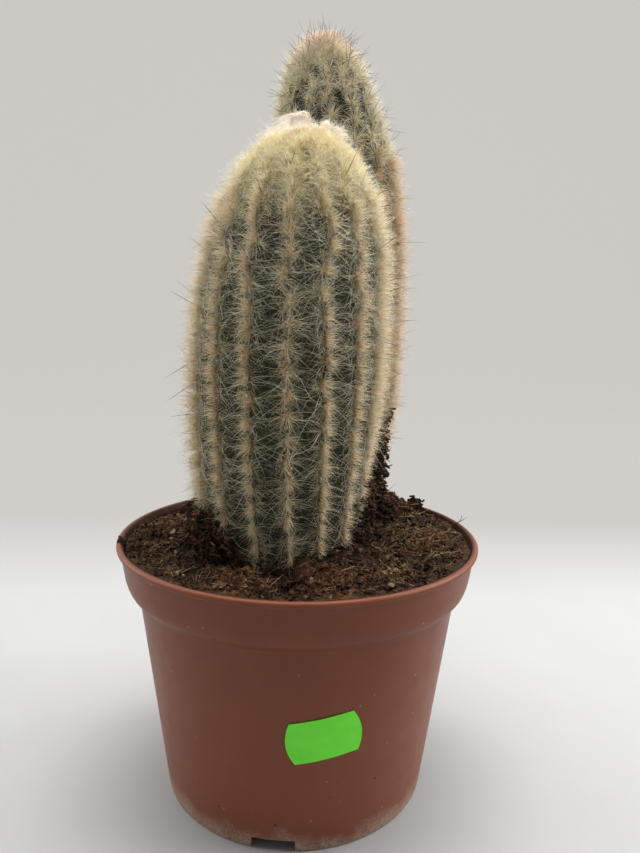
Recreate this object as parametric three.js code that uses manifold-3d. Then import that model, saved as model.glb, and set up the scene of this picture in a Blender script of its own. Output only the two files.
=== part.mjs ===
// A potted old man cactus: two ribbed, bristly columns of unequal height in a plastic nursery pot.
// Millimetres, +Z up. The origin is the centre of the pot's foot, on the surface that it stands on.
// -Y is the front: the shorter column stands there, and the price label is on that side of the pot.
import * as THREE from 'three';
import { mergeVertices } from 'three/addons/utils/BufferGeometryUtils.js';
import Module from 'manifold-3d';

const wasm = await Module();
wasm.setup();

// ---------- driving dimensions ----------
const RIM_RADIUS = 70;
const POT_HEIGHT = 99;
const FOOT_RADIUS = 51.9;
const BODY_TOP_RADIUS = 62;
const BAND_BOTTOM = 79.5; // the pot widens here into the deep band under the rim
const BAND_RADIUS = 67;
const WALL = 1.4;
const FLOOR_UNDER = 5; // the floor is raised on a foot ring
const FLOOR_TOP = 6.6;
const ROUND_STEPS = 48; // facets round the pot and the soil
const NOTCH = { count: 4, azimuth: -8, width: 15.4, height: 4.7 }; // drain notches in the foot ring
const DRAIN = { count: 8, radius: 4.5, circle: 35 }; // holes in the floor

const LABEL = { width: 26, edge: 21.8, height: 16, thick: 0.3 }; // its ends bulge out past the edges
const LABEL_AT = { azimuth: 9.6, z: 46.4, tilt: 9.2, gap: 0.2 };

const SEAT_GAP = 0.35; // between pieces that touch
const SOIL_LEVEL = 97; // at the wall of the pot, on most sides
const UNDER_LIP = 1.6; // the peat beside the wall stays this far below the top of the pot

const RIBS = 16;
const RIB_DEPTH = 4.6;
const CREST_SHARE = 0.34; // share of a rib's pitch that its flat crest takes

// Spines stand on the crests in clusters of two. The lean is sideways, and alternately up and down.
const SPINE = { halfRoot: 0.45, length: 7.6, lean: 33, rise: 16 };
const LONG_SPINE = { oneIn: 9, length: 14, lean: 9, rise: 8, minRadius: 15 }; // of the column
const ROOT_PROUD = 0.08; // a root stands this proud of its cell, which the twist of the ribs bends
const SOIL_CLEAR = 2.2; // no spine comes nearer to the soil than this
const REAR_REACH = RIM_RADIUS - 0.6; // nor stands out past the rim behind the taller column

// Each column: its axis as x, y, z points, its outline over the rib crests as radius, z points, and
// the azimuth of its first rib at one height. The ribs may twist, by some degrees to each mm of height.
// Both columns stand in the soil on a foot that narrows, and end in a dome.
const FRONT = {
  name: 'front_stem',
  axis: [
    [-7.6, -11, 74], [-7, -12, 97], [-6.6, -13.4, 135], [-4.6, -14.6, 180], [-2.1, -15.4, 220],
    [-0.5, -15.8, 244],
  ],
  outline: [
    [14.5, 74.5], [21.5, 79], [25.8, 90], [27.2, 100], [28.9, 113], [31.2, 134], [32.3, 156], [32.2, 178],
    [30.9, 198], [28.2, 212], [23.2, 227], [16.6, 237], [8.6, 242.6], [1.2, 244],
  ],
  ribs: { first: 4, height: 139, twist: -0.1 },
  clusterStep: 9.4, // mm along a rib from one cluster of spines to the next
  seed: 11,
  bareCrown: 12.5, // the wool sits here, so no spines root inside this radius
};
const BACK = {
  name: 'back_stem',
  axis: [
    [16.6, 35, 76], [16.4, 36.2, 100], [16.2, 38.2, 150], [15.2, 39.6, 200], [12.9, 40, 240],
    [8.6, 40.2, 275], [7, 40.2, 296],
  ],
  outline: [
    [9, 77], [13, 82], [15.8, 94], [17.2, 104], [19.8, 122], [22.8, 150], [24.6, 188], [25.2, 216],
    [24.3, 238], [21.6, 258], [17.4, 274], [12.4, 285.6], [6.4, 293.4], [1, 296],
  ],
  ribs: { first: -2.5, height: 139, twist: 0 },
  clusterStep: 10.8,
  seed: 23,
  bareCrown: 0,
};

// ---------- small tools ----------
const { degToRad, radToDeg, smoothstep, lerp, clamp } = THREE.MathUtils;
const range = (count) => Array.from({ length: count }, (_, i) => i);

// The direction of an azimuth in degrees, where 0 is the front (-Y) and 90 is +X.
const around = (azimuth) => [Math.sin(degToRad(azimuth)), -Math.cos(degToRad(azimuth))];

// A repeatable draw of numbers from 0 to 1.
function draws(seed) {
  let state = seed;
  return () => {
    state = (state * 1664525 + 1013904223) >>> 0;
    return state / 4294967296;
  };
}

// The value at z on a line through [value, z] points, and its end values past its ends.
function valueAt(points, z) {
  const i = points.findIndex((p) => p[1] >= z);
  if (i <= 0) return points.at(i)[0];
  const [a, b] = [points[i - 1], points[i]];
  return lerp(a[0], b[0], clamp((z - a[1]) / (b[1] - a[1]), 0, 1));
}

function toSolid(geometry) {
  const bare = geometry.clone();
  bare.deleteAttribute('normal');
  bare.deleteAttribute('uv');
  const merged = mergeVertices(bare, 1e-4);
  return new wasm.Manifold(new wasm.Mesh({
    numProp: 3,
    vertProperties: merged.attributes.position.array,
    triVerts: new Uint32Array(merged.index.array),
  }));
}

function toGeometry(solid) {
  const { vertProperties, triVerts } = solid.getMesh();
  const geometry = new THREE.BufferGeometry();
  geometry.setAttribute('position', new THREE.BufferAttribute(vertProperties, 3));
  geometry.setIndex(new THREE.BufferAttribute(triVerts, 1));
  return geometry;
}

function indexed(points, faces) {
  const geometry = new THREE.BufferGeometry();
  geometry.setAttribute('position', new THREE.Float32BufferAttribute(points.flat(), 3));
  geometry.setIndex(faces.flat());
  return geometry;
}

// A closed skin over rings of points, with a middle point under the first ring and over the last.
function skin(rings, low, high) {
  const count = rings[0].length;
  const points = [...rings.flat(), low, high];
  const [lowPoint, highPoint] = [points.length - 2, points.length - 1];
  const last = (rings.length - 1) * count;
  const faces = [];
  for (const c of range(count)) {
    const d = (c + 1) % count;
    for (let at = 0; at < last; at += count) {
      faces.push([at + c, at + d, at + count + d], [at + c, at + count + d, at + count + c]);
    }
    faces.push([lowPoint, d, c], [last + c, last + d, highPoint]);
  }
  return indexed(points, faces);
}

function piece(name, geometry, color, roughness) {
  const mesh = new THREE.Mesh(geometry, new THREE.MeshStandardMaterial({ color, roughness, metalness: 0 }));
  mesh.name = name;
  return mesh;
}

// ---------- the pot ----------
const bodyRadius = (z) => lerp(FOOT_RADIUS, BODY_TOP_RADIUS, z / BAND_BOTTOM);

// The inside of the wall as [radius, z] points, which the soil follows too.
const INSIDE = [
  [bodyRadius(FLOOR_TOP) - WALL, FLOOR_TOP],
  [BODY_TOP_RADIUS - WALL, BAND_BOTTOM + 1.2],
  [BAND_RADIUS - WALL - 1.8, BAND_BOTTOM + 4.2],
  [BAND_RADIUS - WALL, BAND_BOTTOM + 7.5],
  [RIM_RADIUS - 3, POT_HEIGHT - 2],
];

// The outside, from the middle of the floor's underside, down round the foot ring and up to the lip.
const OUTSIDE = [
  [0, FLOOR_UNDER], [FOOT_RADIUS - WALL - 1.2, FLOOR_UNDER], [FOOT_RADIUS - WALL - 1, 0],
  [FOOT_RADIUS - 0.5, 0], [FOOT_RADIUS, 0.9], [BODY_TOP_RADIUS, BAND_BOTTOM],
  [BAND_RADIUS - 1.6, BAND_BOTTOM + 2.4], [BAND_RADIUS, BAND_BOTTOM + 6.6],
  [RIM_RADIUS - 1.5, POT_HEIGHT - 2.6], [RIM_RADIUS - 0.4, POT_HEIGHT - 2], [RIM_RADIUS, POT_HEIGHT - 1],
  [RIM_RADIUS - 0.7, POT_HEIGHT], [RIM_RADIUS - 2, POT_HEIGHT - 0.3],
];

function pot() {
  const profile = [...OUTSIDE, ...[...INSIDE].reverse(), [0, FLOOR_TOP]];
  const lathe = new THREE.LatheGeometry(profile.map((p) => new THREE.Vector2(...p)), ROUND_STEPS);
  let solid = toSolid(lathe.rotateX(Math.PI / 2));
  for (const i of range(NOTCH.count)) {
    const azimuth = NOTCH.azimuth + i * 360 / NOTCH.count;
    const [x, y] = around(azimuth);
    const notch = new THREE.BoxGeometry(NOTCH.width, 12, 2 * NOTCH.height).rotateZ(degToRad(azimuth));
    solid = solid.subtract(toSolid(notch.translate(x * FOOT_RADIUS, y * FOOT_RADIUS, 0)));
  }
  for (const i of range(DRAIN.count)) {
    const [x, y] = around((i + 0.5) * 360 / DRAIN.count);
    const hole = new THREE.CylinderGeometry(DRAIN.radius, DRAIN.radius, 10, 10).rotateX(Math.PI / 2);
    solid = solid.subtract(toSolid(hole.translate(x * DRAIN.circle, y * DRAIN.circle, FLOOR_TOP)));
  }
  return piece('pot', toGeometry(solid), '#8a5344', 0.55);
}

// ---------- the price label, bare of print ----------
function priceLabel() {
  const { width, edge, height, thick } = LABEL;
  const [halfEdge, halfHeight, bulge] = [edge / 2, height / 2, width - edge / 2];
  const outline = new THREE.Shape();
  outline.moveTo(-halfEdge, -halfHeight);
  outline.lineTo(halfEdge, -halfHeight);
  outline.quadraticCurveTo(bulge, 0, halfEdge, halfHeight);
  outline.lineTo(-halfEdge, halfHeight);
  outline.quadraticCurveTo(-bulge, 0, -halfEdge, -halfHeight);
  const sheet = { depth: thick, bevelEnabled: false, curveSegments: 6 };
  const flat = toSolid(new THREE.ExtrudeGeometry(outline, sheet));
  // It is cut into upright strips, so that it can bend round the cone of the pot.
  const STRIPS = 8;
  const strips = range(STRIPS).map((i) => {
    const strip = new THREE.BoxGeometry(width / STRIPS, 2 * height, 4 * thick);
    return flat.intersect(toSolid(strip.translate((i + 0.5) * width / STRIPS - width / 2, 0, 0)));
  });
  const bent = toGeometry(strips.reduce((all, strip) => all.add(strip)));
  bent.rotateZ(degToRad(LABEL_AT.tilt)).translate(0, LABEL_AT.z, 0);
  const place = bent.attributes.position;
  for (const i of range(place.count)) {
    const [across, z, out] = [place.getX(i), place.getY(i), place.getZ(i)];
    const [x, y] = around(LABEL_AT.azimuth + radToDeg(across / bodyRadius(z)));
    const r = bodyRadius(z) + LABEL_AT.gap + out;
    place.setXYZ(i, x * r, y * r, z);
  }
  return piece('price_label', bent, '#62d53c', 0.6);
}

// ---------- the shape of a column ----------
function column(spec) {
  const axis = new THREE.CatmullRomCurve3(spec.axis.map((p) => new THREE.Vector3(...p))).getPoints(60);
  const [xs, ys] = [axis.map((p) => [p.x, p.z]), axis.map((p) => [p.y, p.z])];
  const outline = new THREE.SplineCurve(spec.outline.map((p) => new THREE.Vector2(...p)));
  // One ring of points to each row of clusters, from the foot to the apex.
  const rings = outline.getSpacedPoints(Math.round(outline.getLength() / spec.clusterStep));
  const crests = rings.map((p) => [p.x, p.y]);
  return {
    ...spec,
    outline,
    rings,
    apex: rings.at(-1).y,
    centre: (z) => [valueAt(xs, z), valueAt(ys, z)],
    crest: (z) => valueAt(crests, z),
  };
}
const front = column(FRONT);
const back = column(BACK);

// How far a point lies outside a column's rib crests.
function outsideOf(one, { x, y, z }) {
  const [cx, cy] = one.centre(z);
  return Math.max(Math.hypot(x - cx, y - cy) - one.crest(z), z - one.apex);
}

// ---------- the soil ----------
// Heaps and hollows of the loose peat, as x, y, height, width. The peat is banked up against the left
// of the front column, and round the back one.
const HEAPS = [
  [37, 40, 8, 13], [30, 24, 4, 10], [-31, -17, 11, 7.5], [-38, 8, 2, 12], [12, -30, 5, 9],
  [14, -52, 1.6, 12], [-16, -42, -1.8, 8], [-44, 44, -4.5, 17], [-8, 54, -2.5, 14],
  [-24, -55, 1.4, 10], [44, -14, 1.2, 14],
];

function soilTop(x, y) {
  const fromMiddle = Math.hypot(x, y);
  let z = SOIL_LEVEL + 1.4 * (1 - smoothstep(fromMiddle, 30, 66));
  for (const [hx, hy, height, width] of HEAPS) {
    z += height * Math.exp(-((x - hx) ** 2 + (y - hy) ** 2) / (2 * width ** 2));
  }
  z += 0.7 * Math.sin(x * 0.43 + 1.3) * Math.cos(y * 0.39 - 0.4) + 0.5 * Math.sin(x * 0.71 - y * 0.63);
  return lerp(z, Math.min(z, POT_HEIGHT - UNDER_LIP), smoothstep(fromMiddle, 52, 63));
}

// The plain hole that a column stands in: its outline without ribs, a little larger.
function holeFor(one) {
  const ringAt = (r, z) => {
    const [cx, cy] = one.centre(z);
    return range(32).map((i) => around(i * 360 / 32)).map(([x, y]) => [cx + r * x, cy + r * y, z]);
  };
  const rings = one.rings.map((at, i) => {
    const along = one.outline.getTangentAt(i / (one.rings.length - 1));
    return ringAt(at.x + SEAT_GAP * along.y, at.y - SEAT_GAP * along.x);
  });
  const foot = one.rings[0];
  const [low, high] = [foot.y - 2 * SEAT_GAP, one.apex + 2 * SEAT_GAP];
  const wider = ringAt(foot.x + SEAT_GAP, low);
  return toSolid(skin([wider, ...rings], [...one.centre(low), low], [...one.centre(high), high]));
}

function soil() {
  // A ring of points whose radius and height may change on the way round.
  const ring = (radiusAt, heightAt = soilTop) => range(ROUND_STEPS).map((i) => {
    const [x, y] = around(i * 360 / ROUND_STEPS);
    const r = radiusAt(x, y);
    return [x * r, y * r, heightAt(x * r, y * r)];
  });
  const bottom = FLOOR_TOP + SEAT_GAP;
  const wall = INSIDE.slice(0, 4).map(([r, z]) => ring(() => r - SEAT_GAP, () => Math.max(z, bottom)));
  const edge = ring((x, y) => valueAt(INSIDE, soilTop(66 * x, 66 * y)) - SEAT_GAP);
  const top = [62, 57.5, 52.5, 47, 41, 34.5, 28, 21, 14, 7].map((r) => ring(() => r));
  const filled = toSolid(skin([...wall, edge, ...top], [0, 0, bottom], [0, 0, soilTop(0, 0)]));
  const planted = filled.subtract(holeFor(front)).subtract(holeFor(back));
  return piece('soil', toGeometry(planted), '#3b2a1f', 0.95);
}

// ---------- the columns: ribs and spines raised from one skin ----------
// The tip of a spine from its root, or null where it would meet the soil, the other column or the wool.
function spineTip(root, way, length, one, other) {
  const [cx, cy] = one.centre(root.z);
  if (root.z > one.apex - 12 && Math.hypot(root.x - cx, root.y - cy) < one.bareCrown) return null;
  const overSoil = (point) => point.z > soilTop(point.x, point.y) + SOIL_CLEAR;
  for (let size = length; size > 0.4 * length; size *= 0.9) {
    const tip = root.clone().addScaledVector(way, size);
    const inOwnHalf = outsideOf(other, tip) > Math.max(outsideOf(one, tip), 0) + 0.5;
    const overGround = overSoil(root) && overSoil(tip) && overSoil(root.clone().lerp(tip, 0.5));
    if (inOwnHalf && overGround && tip.y < REAR_REACH) return tip;
  }
  return null;
}

// The spines of one cluster: where each roots in its cell (0 to 1 across and up), its lean and length.
function cluster(radius, rib, random) {
  const sides = radius < 15 ? [0] : [-1, 1]; // near the apex there is room for only one
  const shortening = lerp(0.62, 1, Math.min(1, radius / 20));
  return sides.map((side) => {
    const kind = random() < 1 / LONG_SPINE.oneIn && radius > LONG_SPINE.minRadius ? LONG_SPINE : SPINE;
    const size = kind.length * (0.82 + 0.36 * random());
    return {
      u: 0.5 + 0.23 * side,
      v: (rib % 2 ? 0.3 : 0.7) - 0.12 * side, // neighbouring ribs carry theirs at other heights
      lean: kind.lean * side,
      rise: (kind === LONG_SPINE ? kind.rise : -kind.rise * side) + 14 * (random() - 0.5),
      length: kind === LONG_SPINE ? size : size * shortening,
    };
  });
}

function stem(one, other, colour) {
  const random = draws(one.seed);
  const edges = [-CREST_SHARE / 2, CREST_SHARE / 2, 0.5]; // of a rib: its crest's two edges, and the valley
  const strips = RIBS * edges.length;
  const ground = soilTop(...one.centre(SOIL_LEVEL));
  const points = [];
  const faces = [];

  for (const at of one.rings) {
    const [cx, cy] = one.centre(at.y);
    const firstRib = one.ribs.first + one.ribs.twist * (at.y - one.ribs.height);
    // The valleys fade out at the apex, and at the foot where it enters the soil.
    const depth = RIB_DEPTH * smoothstep(at.y, ground - 3, ground + 12) * smoothstep(at.x, 1, 22);
    for (const strip of range(strips)) {
      const offset = edges[strip % edges.length];
      const r = offset === 0.5 ? at.x - depth : at.x;
      const [x, y] = around(firstRib + (Math.floor(strip / edges.length) + offset) * 360 / RIBS);
      points.push([cx + r * x, cy + r * y, at.y]);
    }
  }
  const id = (ring, strip) => ring * strips + strip % strips;

  // A cell of the crest with its spines, each raised from a small triangle inside it.
  const bristlyCell = (corners, spines) => {
    const [a, b, c, d] = corners.map((i) => new THREE.Vector3(...points[i]));
    const on = (u, v) => a.clone().lerp(b, u).lerp(d.clone().lerp(c, u), v);
    const across = b.clone().sub(a).normalize();
    const along = d.clone().sub(a).normalize();
    const outward = new THREE.Vector3().crossVectors(across, along).normalize();
    const du = Math.min(SPINE.halfRoot / b.distanceTo(a), 0.2);
    const dv = SPINE.halfRoot / d.distanceTo(a);
    const roots = [];
    const tips = [];
    for (const { u, v, lean, rise, length } of spines) {
      const way = outward.clone().addScaledVector(across, Math.tan(degToRad(lean)));
      way.addScaledVector(along, Math.tan(degToRad(rise))).normalize();
      const tip = spineTip(on(u, v), way, length, one, other);
      if (!tip) continue;
      tips.push(tip);
      roots.push([[u - du, v - dv], [u + du, v - dv], [u, v + dv]].map((p) => new THREE.Vector2(...p)));
    }
    const frame = [[0, 0], [1, 0], [1, 1], [0, 1]].map((p) => new THREE.Vector2(...p));
    const first = points.length;
    points.push(...roots.flat().map((p) => on(p.x, p.y).addScaledVector(outward, ROOT_PROUD).toArray()));
    // The triangulation numbers its points as they are given: the corners, then each root in turn.
    const number = (i) => (i < 4 ? corners[i] : first + i - 4);
    faces.push(...THREE.ShapeUtils.triangulateShape(frame, roots).map((face) => face.map(number)));
    tips.forEach((tip, i) => {
      const [p, q, r] = [0, 1, 2].map((k) => first + 3 * i + k);
      const point = points.push(tip.toArray()) - 1;
      faces.push([p, q, point], [q, r, point], [r, p, point]);
    });
  };

  for (const ring of range(one.rings.length - 1)) {
    const radius = (one.rings[ring].x + one.rings[ring + 1].x) / 2;
    for (const strip of range(strips)) {
      const corners = [id(ring, strip), id(ring, strip + 1), id(ring + 1, strip + 1), id(ring + 1, strip)];
      const rib = Math.floor(strip / edges.length);
      const crowded = radius < 3 || (radius < 11 && (rib + ring) % 2 === 1);
      if (strip % edges.length === 0 && !crowded) {
        bristlyCell(corners, cluster(radius, rib, random));
      } else {
        const [a, b, c, d] = corners;
        faces.push([a, b, c], [a, c, d]);
      }
    }
  }

  const [foot, top] = [one.rings[0].y - 0.3, one.apex + 0.3];
  const under = points.push([...one.centre(foot), foot]) - 1;
  const over = points.push([...one.centre(top), top]) - 1;
  const last = one.rings.length - 1;
  for (const strip of range(strips)) {
    faces.push([id(0, strip + 1), id(0, strip), under], [id(last, strip), id(last, strip + 1), over]);
  }
  return piece(one.name, indexed(points, faces), colour, 0.9);
}

// ---------- the wool on the front column's crown ----------
// A tapering lock of wool along a curve.
function lock(curve) {
  const [STEPS, THICKNESS, UP] = [5, 1.3, new THREE.Vector3(0, 0, 1)];
  const rings = range(STEPS).map((i) => {
    const ahead = curve.getTangent(i / STEPS);
    const side = new THREE.Vector3().crossVectors(ahead, UP).normalize();
    const over = new THREE.Vector3().crossVectors(side, ahead);
    const r = THICKNESS * (1 - 0.8 * (i / STEPS) ** 1.6);
    const at = curve.getPoint(i / STEPS);
    const corners = [45, 315, 225, 135].map(degToRad);
    return corners.map((turn) => at.clone().addScaledVector(side, r * Math.cos(turn))
      .addScaledVector(over, r * Math.sin(turn)).toArray());
  });
  return toSolid(skin(rings, curve.getPoint(0).toArray(), curve.getPoint(1).toArray()));
}

function crownWool() {
  const { apex } = front;
  const [cx, cy] = front.centre(apex);
  const random = draws(5);
  const ball = ([x, y, z], size) => {
    const round = new THREE.SphereGeometry(1, 14, 8).rotateX(Math.PI / 2).scale(...size);
    return toSolid(round.translate(cx + x, cy + y, apex + z));
  };
  // A low cushion over the crown, the dense tuft that the locks come out of, and a small one beside it.
  const cores = [
    [[-0.5, 0.6, -1], [11.6, 9, 5.2]],
    [[-1.2, 0.8, 5.3], [4.4, 3.9, 4.9]],
    [[7.4, 0.8, 3.2], [2, 2, 3]],
  ];
  let wool = cores.map((core) => ball(...core)).reduce((all, core) => all.add(core));
  const LOCKS = 14;
  const middle = new THREE.Vector3(cx - 1.2, cy + 0.8, apex);
  for (const i of range(LOCKS)) {
    // Those on the left are the longest, and are combed that way over the edge of the crown.
    const fromLeft = (i - (LOCKS - 1) / 2) * 22 + 10 * (random() - 0.5);
    const combed = Math.abs(fromLeft) < 62;
    const [x, y] = around(fromLeft - 90);
    const reach = combed ? 13 + 3 * random() : 8.5 + 2.5 * random();
    const end = combed ? 4.4 + 1.4 * random() : 0.6 + random();
    const at = (out, up) => new THREE.Vector3(x * reach * out, y * reach * out, up).add(middle);
    const curve = new THREE.QuadraticBezierCurve3(at(0.1, 4), at(0.5, 9 + 1.4 * random()), at(1, end));
    wool = wool.add(lock(curve));
  }
  // What the crown's shape leaves as a loose scrap is dropped.
  const [whole] = wool.subtract(holeFor(front)).decompose().sort((a, b) => b.volume() - a.volume());
  return piece('crown_wool', toGeometry(whole), '#efe6d2', 1);
}

const cactus = new THREE.Group();
cactus.add(pot(), priceLabel(), soil(), crownWool());
cactus.add(stem(front, back, '#6f7a5c'), stem(back, front, '#66705a'));

export default cactus;
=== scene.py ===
# %% [markdown]
# # A potted old man cactus
# Two ribbed columns of unequal height stand in loose peat, in a plastic nursery pot. What makes the
# plant is its coat: every rib carries a row of woolly cushions (areoles), and each cushion sends out
# fine grey hairs, short cream bristles and now and then one long dark spine.
#
# The measured solid comes in first as a fixed frame. The plant and its pot are then built in
# millimetres, on the frame's own axes: the origin is the centre of the pot's foot, +Z is up and -Y is
# the front. Only the camera, the lamps and the studio are placed in metres, as Blender counts.

# %% Load the frame and measure it
import itertools
import math
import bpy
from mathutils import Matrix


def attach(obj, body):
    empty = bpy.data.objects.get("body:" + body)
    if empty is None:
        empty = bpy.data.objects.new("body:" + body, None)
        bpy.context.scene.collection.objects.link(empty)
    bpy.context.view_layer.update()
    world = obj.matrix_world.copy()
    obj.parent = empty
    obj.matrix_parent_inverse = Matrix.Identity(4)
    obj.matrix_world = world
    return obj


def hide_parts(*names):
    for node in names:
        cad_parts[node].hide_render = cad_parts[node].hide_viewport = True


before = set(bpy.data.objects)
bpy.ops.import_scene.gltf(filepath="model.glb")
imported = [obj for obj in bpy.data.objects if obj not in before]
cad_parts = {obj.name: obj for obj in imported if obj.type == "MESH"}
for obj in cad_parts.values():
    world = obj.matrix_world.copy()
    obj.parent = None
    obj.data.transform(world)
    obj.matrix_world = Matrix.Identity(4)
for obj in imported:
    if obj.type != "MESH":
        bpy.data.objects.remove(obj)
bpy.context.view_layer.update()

from types import SimpleNamespace

import bmesh
import bpy
import numpy as np
from mathutils import Matrix, Vector

# %% [markdown]
# ## The camera
# The rim and the foot of the pot are circles, and how far each is squashed in the picture tells where
# the eye is: about 26 cm in front of the pot's axis and 18 cm up, looking a little down.

# %% Place the camera
IMAGE = (640, 853)
EYE = Vector((0.0, -0.26433, 0.183))
YAW, PITCH, ROLL = 0.0286, 0.15537, 0.02146  # radians: to the right, down, clockwise
FOCAL_PIXELS = 687

ahead = Vector((math.sin(YAW) * math.cos(PITCH), math.cos(YAW) * math.cos(PITCH), -math.sin(PITCH)))
level_right = Vector((math.cos(YAW), -math.sin(YAW), 0))
level_up = level_right.cross(ahead)
right = math.cos(ROLL) * level_right + math.sin(ROLL) * level_up
up = math.cos(ROLL) * level_up - math.sin(ROLL) * level_right

camera_data = bpy.data.cameras.new("camera")
camera_data.sensor_width = 36
camera_data.lens = FOCAL_PIXELS / max(IMAGE) * camera_data.sensor_width
camera = bpy.data.objects.new("camera", camera_data)
camera.matrix_world = Matrix((right, up, -ahead)).transposed().to_4x4()
camera.location = EYE
scene = bpy.context.scene
scene.collection.objects.link(camera)
scene.camera = camera
print("lens, mm:", round(camera_data.lens, 2))

# %% [markdown]
# ## Small tools for shaders
# A material here is a tree of nodes. Two helpers keep it readable: `add` makes a node and feeds its
# sockets, with a plain value or with another node's output, and `new_group` makes an effect that
# several materials can share.

# %% Make and feed nodes
def feed(tree, socket, value):
    """Joins a socket to a node's output, or sets it to a plain value."""
    if isinstance(value, bpy.types.Node):
        value = value.outputs[0]
    if isinstance(value, bpy.types.NodeSocket):
        tree.links.new(value, socket)
    else:
        socket.default_value = value


def add(tree, kind, inputs, **settings):
    """A node of this kind, with its sockets fed and its settings made."""
    made = tree.nodes.new("ShaderNode" + kind)
    for setting, value in settings.items():
        setattr(made, setting, value)
    for socket, value in inputs.items():
        feed(tree, made.inputs[socket], value)
    return made


def colour(code):
    """A colour written as six hex digits, as the linear numbers that a shader takes."""
    parts = [int(code[i:i + 2], 16) / 255 for i in (0, 2, 4)]
    return (*[v / 12.92 if v < 0.04045 else ((v + 0.055) / 1.055) ** 2.4 for v in parts], 1)


def blend_colours(tree, share, low, high):
    """The low colour where share is 0 and the high one where it is 1."""
    made = add(tree, "Mix", {0: share, 6: low, 7: high}, data_type="RGBA")
    return made.outputs[2]


def remap(tree, value, from_min, from_max, to_min=0.0, to_max=1.0):
    """Stretches one range of values to another, and clamps what lies outside it."""
    sockets = {"Value": value, "From Min": from_min, "From Max": from_max, "To Min": to_min, "To Max": to_max}
    return add(tree, "MapRange", sockets).outputs["Result"]


def math_node(tree, operation, *values):
    return add(tree, "Math", dict(enumerate(values)), operation=operation).outputs[0]


def ramp(tree, share, stops):
    """A colour ramp: stops are (position, colour) pairs."""
    made = add(tree, "ValToRGB", {"Fac": share})
    line = made.color_ramp.elements
    for i, (position, value) in enumerate(stops):
        stop = line[i] if i < 2 else line.new(position)
        stop.position, stop.color = position, value
    return made.outputs["Color"]


def new_group(name, inputs, outputs):
    """An empty shader group. Inputs are name: (kind, value), and outputs name: kind."""
    tree = bpy.data.node_groups.new(name, "ShaderNodeTree")
    for label, (kind, value) in inputs.items():
        socket = tree.interface.new_socket(label, in_out="INPUT", socket_type="NodeSocket" + kind)
        socket.default_value = value
    for label, kind in outputs.items():
        tree.interface.new_socket(label, in_out="OUTPUT", socket_type="NodeSocket" + kind)
    return tree, tree.nodes.new("NodeGroupInput").outputs, tree.nodes.new("NodeGroupOutput").inputs


def place(tree, group, inputs):
    """Puts a group into a material's tree and gives its outputs."""
    made = tree.nodes.new("ShaderNodeGroup")
    made.node_tree = group
    for label, value in inputs.items():
        feed(tree, made.inputs[label], value)
    return made.outputs


def new_material(name, roughness=0.6, specular=0.5):
    """A material, its tree and the sockets of its shader."""
    material = bpy.data.materials.new(name)
    material.use_nodes = True
    shader = material.node_tree.nodes["Principled BSDF"]
    shader.inputs["Roughness"].default_value = roughness
    shader.inputs["Specular IOR Level"].default_value = specular
    return material, material.node_tree, shader.inputs


def bump(tree, height, depth_mm, strength=1.0):
    """A surface normal for small relief: height 0 to 1 stands for that many millimetres."""
    return add(tree, "Bump", {"Height": height, "Distance": depth_mm / 1000, "Strength": strength})


print("terracotta as the shader takes it:", [round(v, 3) for v in colour("733d26")])

# %% [markdown]
# ## Effects that several materials share
# Each could be rebuilt in every material that needs it. As a group it is built once, and a material only
# gives it sizes and colours.
# - *millimetres* gives each point's place on the real object, so that every size below is a real one.
# - *mottle* wanders between two colours in soft patches. Nothing grown or moulded has one even colour.
# - *grain* is fine relief, for a bump.
# - *flecks* scatters small separate spots, such as dust on plastic or pores in skin.
# - *tide* is a ragged edge at some height: lime round the pot's foot, cork on the columns' feet.

# %% Millimetres, mottle and grain
millimetres, _, outs = new_group("millimetres", {}, {"Point": "Vector", "Height": "Float"})
object_place = millimetres.nodes.new("ShaderNodeTexCoord").outputs["Object"]
point = add(millimetres, "VectorMath", {0: object_place, 3: 1000.0}, operation="SCALE").outputs[0]
feed(millimetres, outs["Point"], point)
feed(millimetres, outs["Height"], add(millimetres, "SeparateXYZ", {0: point}).outputs["Z"])


def noise(tree, point, size, detail=3.0, roughness=0.5):
    """Soft noise from 0 to 1 with features about this many millimetres across."""
    scale = math_node(tree, "DIVIDE", 1.0, size)
    sockets = {"Vector": point, "Scale": scale, "Detail": detail, "Roughness": roughness}
    return add(tree, "TexNoise", sockets).outputs["Fac"]


mottle, ins, outs = new_group(
    "mottle",
    {"Point": ("Vector", (0, 0, 0)), "Size": ("Float", 5), "Softness": ("Float", 0.2),
     "Dark": ("Color", (0, 0, 0, 1)), "Light": ("Color", (1, 1, 1, 1))},
    {"Colour": "Color", "Mask": "Float"},
)
low = math_node(mottle, "SUBTRACT", 0.5, ins["Softness"])
high = math_node(mottle, "ADD", 0.5, ins["Softness"])
mask = remap(mottle, noise(mottle, ins["Point"], ins["Size"]), low, high)
feed(mottle, outs["Mask"], mask)
feed(mottle, outs["Colour"], blend_colours(mottle, mask, ins["Dark"], ins["Light"]))

grain, ins, outs = new_group(
    "grain",
    {"Point": ("Vector", (0, 0, 0)), "Size": ("Float", 1), "Harshness": ("Float", 0.6)},
    {"Height": "Float"},
)
feed(grain, outs["Height"], noise(grain, ins["Point"], ins["Size"], 5.0, ins["Harshness"]))
print("soft groups:", [group.name for group in bpy.data.node_groups])

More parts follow.
